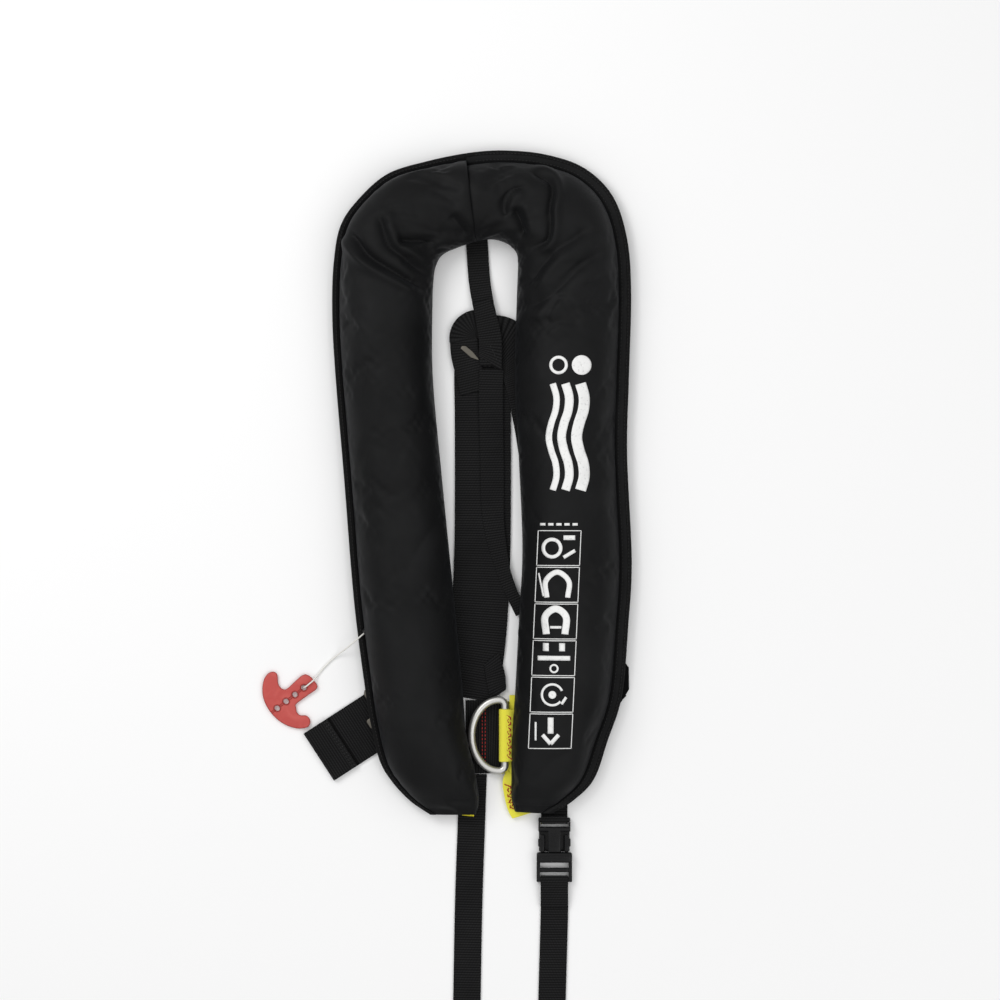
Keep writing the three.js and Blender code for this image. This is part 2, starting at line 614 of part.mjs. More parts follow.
/** The stainless belt hook: a flat frame with two slots and a tongue along the belt. */
function beltHook() {
  let body = hookPlate(HOOK.z, HOOK.z + 2.2, 0);
  for (const x of [-7, 7]) {
    const slot = block([x - 3.5, -26, 0], [x + 3.5, 26, 9]);
    body = body.subtract(turnedAndMoved(slot, [0, 0], HOOK.angle, [HOOK.x, HOOK.y]));
  }
  return body;
}

// ---------------------------------------------------------------- crotch buckle

const SPINE = { half: 5.5, length: 18 };
const SOCKET = { depth: 12, bar: 4, slot: 4 };
const PLUG_TOP = BUCKLE_TOP - SOCKET.depth - SPINE.length - CLEARANCE;
const SOCKET_BAR_TOP = 5;
const PLUG_BAR_TOP = 5.4;
const PLUG = { depth: 9, frame: 17, bar: 4 };
const ARM = { inner: 8.6, width: 4, length: 15.5, low: 2, high: 7 };

function buckleSocket() {
  const half = BUCKLE_WIDTH / 2 - 1.5;
  const head = block([BUCKLE_X - half, BUCKLE_TOP - SOCKET.depth, 0], [BUCKLE_X + half, BUCKLE_TOP, BUCKLE_HEIGHT]);
  const slot = block([BUCKLE_X - CROTCH_WIDTH / 2 - BUCKLE_PLAY, BUCKLE_TOP - SOCKET.bar - SOCKET.slot, -1],
    [BUCKLE_X + CROTCH_WIDTH / 2 + BUCKLE_PLAY, BUCKLE_TOP - SOCKET.bar, BUCKLE_HEIGHT + 1]);
  const spine = block([BUCKLE_X - SPINE.half, BUCKLE_TOP - SOCKET.depth - SPINE.length, 0],
    [BUCKLE_X + SPINE.half, BUCKLE_TOP - SOCKET.depth + 1, BUCKLE_HEIGHT]);
  const channel = block([BUCKLE_X - 3.5, BUCKLE_TOP - SOCKET.depth - SPINE.length - 1, 2.5],
    [BUCKLE_X + 3.5, BUCKLE_TOP - SOCKET.depth - 1, 6.5]);
  const underBar = block([BUCKLE_X - half - 1, BUCKLE_TOP - SOCKET.bar, -1],
    [BUCKLE_X + half + 1, BUCKLE_TOP + 1, WEBBING + CLEARANCE]);
  const overBar = block([BUCKLE_X - half - 1, BUCKLE_TOP - SOCKET.bar, SOCKET_BAR_TOP],
    [BUCKLE_X + half + 1, BUCKLE_TOP + 1, BUCKLE_HEIGHT + 1]);
  return head.add(spine).subtract(slot).subtract(channel).subtract(underBar).subtract(overBar);
}

function bucklePlug() {
  const half = BUCKLE_WIDTH / 2;
  const low = PLUG_TOP - PLUG.depth;
  const end = low - PLUG.frame;
  const head = block([BUCKLE_X - half, low, 0], [BUCKLE_X + half, PLUG_TOP, BUCKLE_HEIGHT]);
  const prong = block([BUCKLE_X - 3, PLUG_TOP - 1, 3], [BUCKLE_X + 3, PLUG_TOP + SPINE.length - 3, 6]);
  let body = head.add(prong);
  for (const side of [-1, 1]) {
    const edge = BUCKLE_X + side * (half - BUCKLE_RAIL / 2);
    body = body.add(block([edge - BUCKLE_RAIL / 2, end, 0], [edge + BUCKLE_RAIL / 2, low + 1, 6]));
  }
  for (const y of [end, end + 8.5]) {
    body = body.add(block([BUCKLE_X - half + 1, y, 2.6], [BUCKLE_X + half - 1, y + PLUG.bar, PLUG_BAR_TOP]));
  }
  return body;
}

function latchArm(side) {
  const inner = BUCKLE_X + side * ARM.inner;
  const outer = inner + side * ARM.width;
  const low = Math.min(inner, outer);
  const shaft = block([low, PLUG_TOP + CLEARANCE, ARM.low],
    [low + ARM.width, PLUG_TOP + ARM.length, ARM.high]);
  const pad = block([outer - (side > 0 ? 1 : 1.6), PLUG_TOP + 5, ARM.low],
    [outer + (side > 0 ? 1.6 : 1), PLUG_TOP + 12, ARM.high]);
  return shaft.add(pad);
}

const TAB_START = -500;
const CROTCH_THICKNESS = 1.4;
const LOW_LAYER = CLEARANCE;      // outside of the strap where it passes under a bar

/** The tab from the lobe passes under the socket's bar, up through its slot and back over the bar. */
function crotchTab() {
  const turn = BUCKLE_TOP - SOCKET.bar - CLEARANCE - CROTCH_THICKNESS;
  const over = SOCKET_BAR_TOP + CLEARANCE + CROTCH_THICKNESS;
  const points = [[TAB_START, LOW_LAYER], [turn, LOW_LAYER], [turn, over], [BUCKLE_TOP + 1, over]];
  return strap(points.map(([y, z]) => [BUCKLE_X, y, z]), CROTCH_WIDTH - 1,
    { thickness: CROTCH_THICKNESS, side: [-1, 0, 0], straight: true });
}

const STRAP_END = -757;

/** The front leg: from the bottom of the loop, up under the end bar, over it and back on itself. */
function crotchFront() {
  const end = PLUG_TOP - PLUG.depth - PLUG.frame;
  const turn = end + PLUG.bar + CLEARANCE + CROTCH_THICKNESS;
  const over = PLUG_BAR_TOP + CLEARANCE + CROTCH_THICKNESS;
  const points = [[BUCKLE_X - 3, STRAP_END, LOW_LAYER], [BUCKLE_X, end - 8, LOW_LAYER],
    [BUCKLE_X, turn, LOW_LAYER], [BUCKLE_X, turn, over], [BUCKLE_X, end - 3, over],
    [BUCKLE_X, end - 22, LOW_LAYER + 2 * CROTCH_THICKNESS + 0.6]];
  return strap(points, CROTCH_WIDTH, { thickness: CROTCH_THICKNESS, side: [1, 0, 0], straight: true });
}

/** The back leg: down from the left lobe and across under the front leg, past a flat fold. */
function crotchBack() {
  const leg = strap(CROTCH_BACK, CROTCH_WIDTH, { thickness: 1.6 });
  const run = strap([[-24, -757, SECOND], [40, -757, SECOND], [74, -757, SECOND]], CROTCH_WIDTH, { thickness: 1.6 });
  const fold = block([-24, -769, 0], [0, -733, SECOND + 1.6]);
  return leg.add(run).add(fold);
}

// ---------------------------------------------------------------- materials and assembly

const FINISHES = {
  cover: { color: 0x1c1c1e, roughness: 0.55, metalness: 0 },
  panel: { color: 0x17171a, roughness: 0.8, metalness: 0 },
  webbing: { color: 0x202124, roughness: 0.8, metalness: 0 },
  tape: { color: 0x101012, roughness: 0.95, metalness: 0 },
  yellowCloth: { color: 0xe6dc1e, roughness: 0.6, metalness: 0 },
  yellowWebbing: { color: 0xe8dd28, roughness: 0.75, metalness: 0 },
  steel: { color: 0xc4c2be, roughness: 0.25, metalness: 1 },
  gas: { color: 0x9a9c9e, roughness: 0.35, metalness: 0.9 },
  blackPlastic: { color: 0x1a1a1d, roughness: 0.4, metalness: 0 },
  redPlastic: { color: 0xc84b4b, roughness: 0.5, metalness: 0 },
  greenPlastic: { color: 0x2f9e44, roughness: 0.45, metalness: 0 },
  whitePlastic: { color: 0xe9e9e4, roughness: 0.45, metalness: 0 },
  cord: { color: 0xe4e2dc, roughness: 0.8, metalness: 0 },
};

const jacket = new THREE.Group();

function place(name, body, finish) {
  const mesh = new THREE.Mesh(geometryOf(body), new THREE.MeshStandardMaterial(FINISHES[finish]));
  mesh.name = name;
  jacket.add(mesh);
}

/** The plastic sleeve that lines the hole where the cord leaves the cover. */
function cordGrommet() {
  const from = [-91.5, -370.5, CORD_HEIGHT];
  const to = [-101, -378.64, CORD_HEIGHT];
  const bore = rod([-82, -362.36, CORD_HEIGHT], [-110, -386.35, CORD_HEIGHT], CORD_DIAMETER / 2 + 0.6, 12);
  return rod(from, to, GROMMET_RADIUS, 12).subtract(bore);
}

const halves = [
  { side: 'left', from: 0, to: nape - NAPE_GAP, hollow: [TIP, nape] },
  { side: 'right', from: nape + NAPE_GAP, to: 1, hollow: [nape, 1 - TIP] },
];
const GROMMET_RADIUS = 3.2;
const grommetHole = rod([-82, -362.4, CORD_HEIGHT], [-110, -386.4, CORD_HEIGHT], GROMMET_RADIUS + CLEARANCE, 12);

for (const { side, from, to, hollow } of halves) {
  let front = alongCover(from, to, frontSection).subtract(alongCover(...hollow, hollowSection));
  if (side === 'left') {
    front = front.subtract(grommetHole);
  }
  place(`cover_front_${side}`, front, 'cover');
  place(`loop_strip_${side}`, alongCover(from, to, tapeSection(TAPE_BASE)), 'tape');
  place(`hook_strip_${side}`, alongCover(from, to, tapeSection(HOOK_BASE)), 'tape');
  place(`edge_binding_${side}`, alongCover(from, to, bindingSection), 'webbing');
}

const FIRST_TOP = FIRST + WEBBING;
const SECOND_TOP = SECOND + WEBBING;
const grooves = [
  grooveFor(ROUTES.backStrap.slice(0, 4), BACK_STRAP_WIDTH, SECOND_TOP),
  grooveFor(ROUTES.beltLeft, BELT_WIDTH, FIRST_TOP),
  grooveFor(ROUTES.beltRight, BELT_RIGHT_WIDTHS, SECOND_TOP),
  grooveFor(ROUTES.strapTail, BACK_STRAP_WIDTH, SECOND_TOP),
  grooveFor(ROUTES.ringWebbing, BELT_WIDTH, FIRST_TOP),
  grooveFor(ROUTES.beltTail, BELT_WIDTH, SECOND_TOP),
  grooveFor(ROUTES.becket, BECKET_WIDTH, SECOND_TOP),
  grooveFor(CROTCH_BACK, CROTCH_WIDTH, FIRST_TOP),
  grooveFor([[BUCKLE_X, TAB_START, 0], [BUCKLE_X, BUCKLE_TOP - 10, 0]], CROTCH_WIDTH, FIRST_TOP),
  hookPlate(-3, SECOND_TOP + CLEARANCE, 1.5),
];
let panel = alongCover(0, 1, panelSection);
for (const groove of grooves) {
  panel = panel.subtract(groove);
}
place('back_panel', panel, 'panel');

const bladder = alongCover(TIP * 2, 1 - TIP * 2, bladderSection)
  .subtract(inflatorPocket()).subtract(cordChannel(9, 9.5, 60)).subtract(tubePocket());
place('bladder', bladder, 'yellowCloth');

place('inflator_body', inflatorBody(), 'blackPlastic');
place('lever_pin', rod([PIVOT.x, PIVOT.y, 10.4], [PIVOT.x, PIVOT.y, 29], LEVER_PIN), 'steel');
place('co2_cylinder', co2Cylinder(), 'gas');
place('sensing_cartridge', sensingCartridge(), 'whitePlastic');
place('cartridge_cap', cartridgeCap(), 'blackPlastic');
place('indicator_clip', block([-72, -380, 40.3], [-60, -372, 42.5]), 'greenPlastic');
place('manifold_valve', manifoldValve(), 'steel');
place('manifold_nut', manifoldNut(), 'steel');
place('oral_tube', oralTube(), 'blackPlastic');
place('oral_valve', oralValve(), 'whitePlastic');
place('oral_cap', oralCap(), 'redPlastic');
place('whistle', whistle(), 'whitePlastic');
place('whistle_lanyard', whistleLanyard(), 'cord');

place('back_strap', strap(ROUTES.backStrap, BACK_STRAP_WIDTH, { thickness: 1.6 }), 'webbing');
place('strap_tail', strap(ROUTES.strapTail, BACK_STRAP_WIDTH, { thickness: 1.6 }), 'webbing');
place('waist_belt_left', strap(ROUTES.beltLeft, BELT_WIDTH), 'webbing');
place('waist_belt_right', strap(ROUTES.beltRight, BELT_RIGHT_WIDTHS, { thickness: 1.8 }), 'webbing');
place('ring_webbing', strap(ROUTES.ringWebbing, BELT_WIDTH), 'webbing');
place('belt_tail', strap(ROUTES.beltTail, BELT_WIDTH, { steps: 1 }), 'webbing');
place('belt_hook', beltHook(), 'steel');
place('dee_ring', wireLoop(ringLine(), RING_WIRE / 2, RING_HEIGHT), 'steel');
place('lifting_becket', strap(ROUTES.becket, BECKET_WIDTH, { thickness: 1.6 }).add(becketSleeve()), 'yellowWebbing');

place('inflator_lever', inflatorLever(), 'redPlastic');
place('cord_grommet', cordGrommet(), 'blackPlastic');
place('pull_cord', pullCord(), 'cord');
place('pull_handle', pullHandle(), 'redPlastic');

place('crotch_tab', crotchTab(), 'webbing');
place('buckle_socket', buckleSocket(), 'blackPlastic');
place('buckle_plug', bucklePlug(), 'blackPlastic');
place('latch_arm_left', latchArm(-1), 'blackPlastic');
place('latch_arm_right', latchArm(1), 'blackPlastic');
place('crotch_strap_front', crotchFront(), 'webbing');
place('crotch_strap_back', crotchBack(), 'webbing');

export default jacket;
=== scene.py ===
"""The looks of a packed inflatable life jacket, built around its CAD frame.

The jacket lies on its back with the collar towards +Y and the front cover up. Tables of places
are in millimetres in the frame's own axes, and every mesh is made in metres.
"""

import json
import logging
import math
from dataclasses import dataclass, field
from enum import Enum
from typing import Any, Callable, Iterable, Sequence

import bmesh
import bpy
import numpy as np
from mathutils import Matrix, Vector
from mathutils.bvhtree import BVHTree

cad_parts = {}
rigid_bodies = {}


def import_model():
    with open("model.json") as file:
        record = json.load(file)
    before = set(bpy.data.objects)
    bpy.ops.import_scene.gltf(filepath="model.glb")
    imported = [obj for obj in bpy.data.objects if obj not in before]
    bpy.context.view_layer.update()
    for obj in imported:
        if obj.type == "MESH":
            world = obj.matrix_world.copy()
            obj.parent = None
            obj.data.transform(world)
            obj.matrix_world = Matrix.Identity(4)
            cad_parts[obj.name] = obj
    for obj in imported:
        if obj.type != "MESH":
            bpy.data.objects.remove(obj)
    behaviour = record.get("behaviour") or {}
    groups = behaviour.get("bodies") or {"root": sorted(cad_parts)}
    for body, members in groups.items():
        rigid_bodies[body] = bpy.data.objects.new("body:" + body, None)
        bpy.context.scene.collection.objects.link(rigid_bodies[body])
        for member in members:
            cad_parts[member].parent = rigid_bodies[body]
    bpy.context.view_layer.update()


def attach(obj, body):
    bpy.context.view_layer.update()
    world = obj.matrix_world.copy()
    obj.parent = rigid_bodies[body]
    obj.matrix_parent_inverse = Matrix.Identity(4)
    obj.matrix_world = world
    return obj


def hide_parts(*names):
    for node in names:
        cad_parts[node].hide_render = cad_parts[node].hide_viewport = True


LOG = logging.getLogger("life_jacket")
MM = 0.001

Point = Sequence[float]
Array = np.ndarray

# The cover from the end of one lobe over the collar to the end of the other: x and y of its
# edge at the neck, x and y of its outer seam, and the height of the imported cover.
STATIONS = np.array([
    [-3.5, -537, -42, -537, 15], [-1, -527, -59.5, -525, 24], [-2, -512, -75, -508.5, 34],
    [-6, -492, -86, -490, 41], [-12, -468, -93.5, -459.5, 48], [-15, -429, -98.5, -429, 48],
    [-22.5, -350, -108.5, -350, 48], [-33, -245, -117, -245, 48], [-41, -157.5, -125, -149, 48],
    [-41.5, -96, -127.5, -96, 48], [-40, -65.5, -126, -54, 48], [-36, -52.5, -120, -23, 48],
    [-30, -46.5, -104, 0, 46], [-22, -43, -79.5, 21, 44], [-14, -40, -46.5, 31.5, 42],
    [-2, -36.5, -9, 39, 42], [12, -35, 22, 41, 42], [23.5, -38.5, 57, 37.5, 44],
    [30, -44, 90, 26, 46], [33, -51, 114.5, 2, 48], [33, -65.5, 127, -35, 48],
    [32, -92, 130.5, -83, 48], [30.5, -157.5, 128.5, -157.5, 48], [34, -227.5, 127, -223, 48],
    [37, -306, 131, -315, 48], [34, -367.5, 128, -372, 48], [30.5, -433, 122.5, -433, 48],
    [27.5, -472.5, 110, -472.5, 44], [27.5, -503, 98, -506, 36], [27.5, -522.5, 79.5, -525, 24],
    [30.5, -534.5, 61, -536, 15],
])
NAPE = 15 / 30 - 0.0035           # fraction of the way round where the two halves meet
PANEL_TOP = 7.0                   # upper face of the back panel
FLANGE_TOP = 11.4                 # upper face of the cover's outer seam


# ---------------------------------------------------------------- mesh helpers

def catmull(points: Array, at: Array) -> Array:
    """A uniform Catmull-Rom line through points, at fractions of the way along.

    Args:
        points: one row for each point.
        at: fractions from 0 to 1.

    Returns:
        One row for each fraction.
    """
    points = np.asarray(points, float)
    padded = np.vstack([2 * points[0] - points[1], points, 2 * points[-1] - points[-2]])
    place = np.clip(at, 0, 1) * (len(points) - 1)
    low = np.minimum(place.astype(int), len(points) - 2)
    t = (place - low)[:, None]
    a, b, c, d = (padded[low + i] for i in range(4))
    return 0.5 * (2 * b + (c - a) * t + (2 * a - 5 * b + 4 * c - d) * t**2
                  + (3 * b - a - 3 * c + d) * t**3)


def even_line(points: Sequence[Point], step: float, fine: int = 24) -> Array:
    """A smooth line through points, cut into near-equal steps.

    Args:
        points: the points it goes through.
        step: the wanted length of a step, in the points' unit.
        fine: samples between two points while its length is measured.

    Returns:
        One row for each place on the line.
    """
    points = np.asarray(points, float)
    dense = catmull(points, np.linspace(0, 1, fine * (len(points) - 1) + 1))
    run = np.concatenate([[0], np.cumsum(np.linalg.norm(np.diff(dense, axis=0), axis=1))])
    count = max(2, round(run[-1] / step))
    even = np.linspace(0, run[-1], count + 1)
    return np.stack([np.interp(even, run, dense[:, axis]) for axis in range(dense.shape[1])], 1)


def length_of(line: Array) -> Array:
    """The distance run at each place of a line."""
    return np.concatenate([[0], np.cumsum(np.linalg.norm(np.diff(line, axis=0), axis=1))])


def unit(vectors: Array) -> Array:
    """Vectors made one long."""
    return vectors / np.maximum(np.linalg.norm(vectors, axis=-1, keepdims=True), 1e-12)


def smoothstep(low: float, high: float, value: Array) -> Array:
    """0 below low, 1 above high and a soft step between."""
    t = np.clip((value - low) / (high - low), 0, 1)
    return t * t * (3 - 2 * t)


def make_mesh(name: str, points: Array, faces: Iterable[Sequence[int]],
              uvs: Array | None = None, smooth: bool = True) -> bpy.types.Object:
    """A mesh object at the origin.

    Args:
        name: the piece's name.
        points: its vertices in metres.
        faces: its faces as rows of vertex numbers.
        uvs: one pair for each vertex, written to a map named weave.
        smooth: whether the faces are shaded smooth.

    Returns:
        The object, linked to the scene.
    """
    mesh = bpy.data.meshes.new(name)
    mesh.from_pydata([tuple(p) for p in np.asarray(points, float)], [], [list(f) for f in faces])
    if uvs is not None:
        layer = mesh.uv_layers.new(name="weave")
        corners = np.empty(len(mesh.loops), np.int32)
        mesh.loops.foreach_get("vertex_index", corners)
        layer.data.foreach_set("uv", np.asarray(uvs, np.float32)[corners].ravel())
    mesh.polygons.foreach_set("use_smooth", [smooth] * len(mesh.polygons))
    mesh.update()
    thing = bpy.data.objects.new(name, mesh)
    bpy.context.scene.collection.objects.link(thing)
    return thing


def facing_out(thing: bpy.types.Object, merge: float = 1e-6) -> bpy.types.Object:
    """Merges a mesh's doubles and turns its faces outwards."""
    work = bmesh.new()
    work.from_mesh(thing.data)
    bmesh.ops.remove_doubles(work, verts=work.verts, dist=merge)
    bmesh.ops.recalc_face_normals(work, faces=work.faces)
    work.to_mesh(thing.data)
    work.free()
    return thing


def tube_faces(rings: int, around: int, closed: bool = False) -> list[list[int]]:
    """Quads between rings of equal size, with the two end rings filled unless it is a loop."""
    faces = []
    for i in range(rings if closed else rings - 1):
        a, b = i * around, (i + 1) % rings * around
        for j in range(around):
            k = (j + 1) % around
            faces.append([a + j, a + k, b + k, b + j])
    if not closed:
        faces.append(list(range(around))[::-1])
        faces.append([(rings - 1) * around + j for j in range(around)])
    return faces


def sweep(name: str, line: Array, section: Callable[[int, float], Array], up: Point | Array = (0, 0, 1),
          closed: bool = False, unit_length: float = MM) -> bpy.types.Object:
    """A closed body whose section runs along a line.

    Args:
        name: the piece's name.
        line: the places it runs through.
        section: gives [across, up] points for a place's number and its distance along.
        up: the direction, or one for each place, that the section's second number follows.
        closed: whether the line comes back to its start.
        unit_length: metres in one unit of the line and the section.

    Returns:
        The object, with across and along in its map in metres.
    """
    line = np.asarray(line, float)
    ahead, behind = (np.roll(line, -1, 0), np.roll(line, 1, 0)) if closed else (
        np.vstack([line[1:], line[-1:]]), np.vstack([line[:1], line[:-1]]))
    tangent = unit(ahead - behind)
    ups = np.broadcast_to(np.asarray(up, float), line.shape)
    across = unit(np.cross(tangent, ups))
    lift = np.cross(across, tangent)
    run = length_of(line)
    points, uvs = [], []
    for i, place in enumerate(line):
        shape = np.asarray(section(i, run[i]), float)
        points.append(place + shape[:, :1] * across[i] + shape[:, 1:] * lift[i])
        round_it = length_of(np.vstack([shape, shape[:1]]))[:-1]
        uvs.append(np.stack([round_it, np.full(len(shape), run[i])], 1))
    around = len(points[0])
    thing = make_mesh(name, np.vstack(points) * unit_length, tube_faces(len(line), around, closed),
                      np.vstack(uvs) * unit_length)
    return facing_out(thing)


def circle(radius: float, sides: int) -> Array:
    """The points of a circle about the origin."""
    turn = np.arange(sides) * 2 * math.pi / sides
    return radius * np.stack([np.cos(turn), np.sin(turn)], 1)


def modified(thing: bpy.types.Object, kind: str, **settings: Any) -> bpy.types.Object:
    """Adds a modifier to a mesh and applies it.

    Args:
        thing: a mesh object.
        kind: the modifier's type.
        settings: its values.

    Returns:
        The same object with its final mesh.
    """
    modifier = thing.modifiers.new(kind.lower(), kind)
    for name, value in settings.items():
        setattr(modifier, name, value)
    return settle(thing)


def settle(thing: bpy.types.Object) -> bpy.types.Object:
    """Makes a piece's evaluated mesh its own mesh, and removes its modifiers."""
    graph = bpy.context.evaluated_depsgraph_get()
    graph.update()
    mesh = bpy.data.meshes.new_from_object(thing.evaluated_get(graph), depsgraph=graph)
    thing.modifiers.clear()
    thing.data = mesh
    return thing


def points_of(thing: bpy.types.Object) -> Array:
    """A mesh's vertices as rows."""
    flat = np.empty(len(thing.data.vertices) * 3)
    thing.data.vertices.foreach_get("co", flat)
    return flat.reshape(-1, 3)


def set_points(thing: bpy.types.Object, points: Array) -> None:
    """Moves a mesh's vertices to rows of places."""
    thing.data.vertices.foreach_set("co", np.asarray(points, float).ravel())
    thing.data.update()


def joined(name: str, things: Sequence[bpy.types.Object]) -> bpy.types.Object:
    """Several meshes as one object of that name, with their materials and maps kept."""
    for other in bpy.context.view_layer.objects.selected[:]:
        other.select_set(False)
    for thing in things:
        thing.select_set(True)
    bpy.context.view_layer.objects.active = things[0]
    bpy.ops.object.join()
    things[0].name = name
    things[0].data.name = name
    things[0].select_set(False)
    return things[0]


def surface_of(*things: bpy.types.Object) -> BVHTree:
    """A tree for casting rays at several meshes."""
    points: list[Vector] = []
    faces: list[list[int]] = []
    for thing in things:
        start = len(points)
        points += [v.co.copy() for v in thing.data.vertices]
        faces += [[start + i for i in p.vertices] for p in thing.data.polygons]
    return BVHTree.FromPolygons(points, faces)


def dress(thing: bpy.types.Object, finish: "Finish") -> bpy.types.Object:
    """Gives a piece one finish all over."""
    thing.data.materials.clear()
    thing.data.materials.append(finish.material())
    return thing


def box_body(name: str, low: Point, high: Point, bevel: float = 0.6, segments: int = 3) -> bpy.types.Object:
    """A box in millimetres with rounded edges.

    Args:
        name: the piece's name.
        low: its lowest corner.
        high: its highest corner.
        bevel: the radius of its edges.
        segments: faces across each rounded edge.

    Returns:
        The object.
    """
    work = bmesh.new()
    bmesh.ops.create_cube(work, size=1)
    low_m, high_m = np.array(low) * MM, np.array(high) * MM
    for vertex in work.verts:
        vertex.co = Vector(low_m + (np.array(vertex.co) + 0.5) * (high_m - low_m))
    bmesh.ops.bevel(work, geom=work.edges[:], offset=bevel * MM, segments=segments, profile=0.5,
                    affect="EDGES")
    return from_bmesh(name, work)


def from_bmesh(name: str, work: bmesh.types.BMesh) -> bpy.types.Object:
    """A mesh object from an edit mesh, which is freed."""
    bmesh.ops.recalc_face_normals(work, faces=work.faces)
    mesh = bpy.data.meshes.new(name)
    work.to_mesh(mesh)
    work.free()
    mesh.polygons.foreach_set("use_smooth", [True] * len(mesh.polygons))
    thing = bpy.data.objects.new(name, mesh)
    bpy.context.scene.collection.objects.link(thing)
    return thing


def plate_body(name: str, outlines: Sequence[Array], low: float, high: float, bevel: float = 0.5,
               segments: int = 3) -> bpy.types.Object:
    """A flat plate with holes and rounded rims, in millimetres.

    Args:
        name: the piece's name.
        outlines: the outer outline, then one outline for each hole, as [x, y] rows.
        low: height of its underside.
        high: height of its upper side.
        bevel: the radius of its rims.
        segments: faces across each rounded rim.

    Returns:
        The object.
    """
    curve = bpy.data.curves.new(name, "CURVE")
    curve.dimensions = "2D"
    curve.fill_mode = "BOTH"
    curve.extrude = ((high - low) / 2 - bevel) * MM
    curve.bevel_depth = bevel * MM
    curve.offset = -bevel * MM
    curve.bevel_resolution = segments - 1
    for outline in outlines:
        spline = curve.splines.new("POLY")
        spline.points.add(len(outline) - 1)
        spline.use_cyclic_u = True
        for point, (x, y) in zip(spline.points, outline):
            point.co = (x * MM, y * MM, 0, 1)
    made = bpy.data.objects.new(name + "_outline", curve)
    bpy.context.scene.collection.objects.link(made)
    graph = bpy.context.evaluated_depsgraph_get()
    mesh = bpy.data.meshes.new_from_object(made.evaluated_get(graph), depsgraph=graph)
    bpy.data.objects.remove(made)
    bpy.data.curves.remove(curve)
    thing = bpy.data.objects.new(name, mesh)
    mesh.name = name
    bpy.context.scene.collection.objects.link(thing)
    mesh.transform(Matrix.Translation((0, 0, (low + high) / 2 * MM)))
    facing_out(thing, 2e-6)
    shade_by_angle(thing)
    return thing


def shade_by_angle(thing: bpy.types.Object, degrees: float = 40) -> None:
    """Shades a mesh smooth, but leaves edges sharper than an angle crisp."""
    thing.data.polygons.foreach_set("use_smooth", [True] * len(thing.data.polygons))
    thing.data.set_sharp_from_angle(angle=math.radians(degrees))


# ---------------------------------------------------------------- finishes

class Wiring:
    """Adds shader nodes to one material in a few words."""

    def __init__(self, name: str) -> None:
        """Starts a material with a plain surface shader."""
        self.material = bpy.data.materials.new(name)
        self.material.use_nodes = True
        self.tree = self.material.node_tree
        self.shader = self.tree.nodes["Principled BSDF"]

    def node(self, kind: str, sockets: dict | None = None, **settings: Any) -> bpy.types.Node:
        """A new node.

        Args:
            kind: the node's type, without its ShaderNode prefix.
            sockets: values or sockets for its inputs, by name or number.
            settings: its other values.

        Returns:
            The node.
        """
        made = self.tree.nodes.new("ShaderNode" + kind)
        for name, value in settings.items():
            setattr(made, name, value)
        self.feed(made, sockets or {})
        return made

    def feed(self, node: bpy.types.Node, sockets: dict) -> None:
        """Sets or links a node's inputs."""
        for key, value in sockets.items():
            if isinstance(value, bpy.types.NodeSocket):
                self.tree.links.new(value, node.inputs[key])
            else:
                node.inputs[key].default_value = value

    def math(self, operation: str, *values: Any) -> bpy.types.NodeSocket:
        """The result of one sum on numbers or sockets."""
        return self.node("Math", dict(enumerate(values)), operation=operation).outputs[0]

    def place(self, scale: Point = (1, 1, 1), turn: float = 0, uv: bool = False) -> bpy.types.NodeSocket:
        """Where a point is on the piece, stretched and turned about Z.

        Args:
            scale: pattern units to a metre along each axis.
            turn: the turn in radians.
            uv: whether to read the piece's own map instead of Object coordinates.

        Returns:
            The socket of the place.
        """
        source = (self.node("UVMap", uv_map="weave").outputs[0] if uv
                  else self.node("TexCoord").outputs["Object"])
        return self.node("Mapping", {"Vector": source, "Scale": scale, "Rotation": (0, 0, turn)}).outputs[0]

    def noise(self, scale: float, detail: float = 3, rough: float = 0.5, at: Any = None,
              warp: float = 0) -> bpy.types.NodeSocket:
        """Soft random values from 0 to 1."""
        return self.node("TexNoise", {"Vector": at or self.place(), "Scale": scale, "Detail": detail,
                                      "Roughness": rough, "Distortion": warp}).outputs[0]

    def span(self, value: bpy.types.NodeSocket, low: float, high: float, start: float = 0.3,
             end: float = 0.7) -> bpy.types.NodeSocket:
        """A value taken from the range start..end to low..high."""
        return self.node("MapRange", {"Value": value, "From Min": start, "From Max": end,
                                      "To Min": low, "To Max": high}).outputs[0]

    def tint(self, factor: bpy.types.NodeSocket, first: Point, second: Point) -> bpy.types.NodeSocket:
        """A colour between two colours."""
        made = self.node("Mix", data_type="RGBA")
        self.feed(made, {0: factor, 6: (*first, 1), 7: (*second, 1)})
        return made.outputs[2]

    def bump(self, height: bpy.types.NodeSocket, depth: float, strength: float = 1,
             under: bpy.types.NodeSocket | None = None) -> bpy.types.NodeSocket:
        """A bump of a depth in metres, over another one."""
        sockets = {"Height": height, "Distance": depth, "Strength": strength}
        if under is not None:
            sockets["Normal"] = under
        return self.node("Bump", sockets).outputs[0]

    def surface(self, **sockets: Any) -> bpy.types.Material:
        """Sets the shader's inputs, named with underscores for spaces, and returns the material."""
        self.feed(self.shader, {key.replace("_", " "): value for key, value in sockets.items()})
        return self.material


@dataclass(frozen=True)
class Finish:
    """A finish that several pieces may share; its material is made once."""

    name: str

    def material(self) -> bpy.types.Material:
        """The finish's material, made the first time it is asked for."""
        return bpy.data.materials.get(self.name) or self.build()

    def build(self) -> bpy.types.Material:
        """Makes the material."""
        raise NotImplementedError


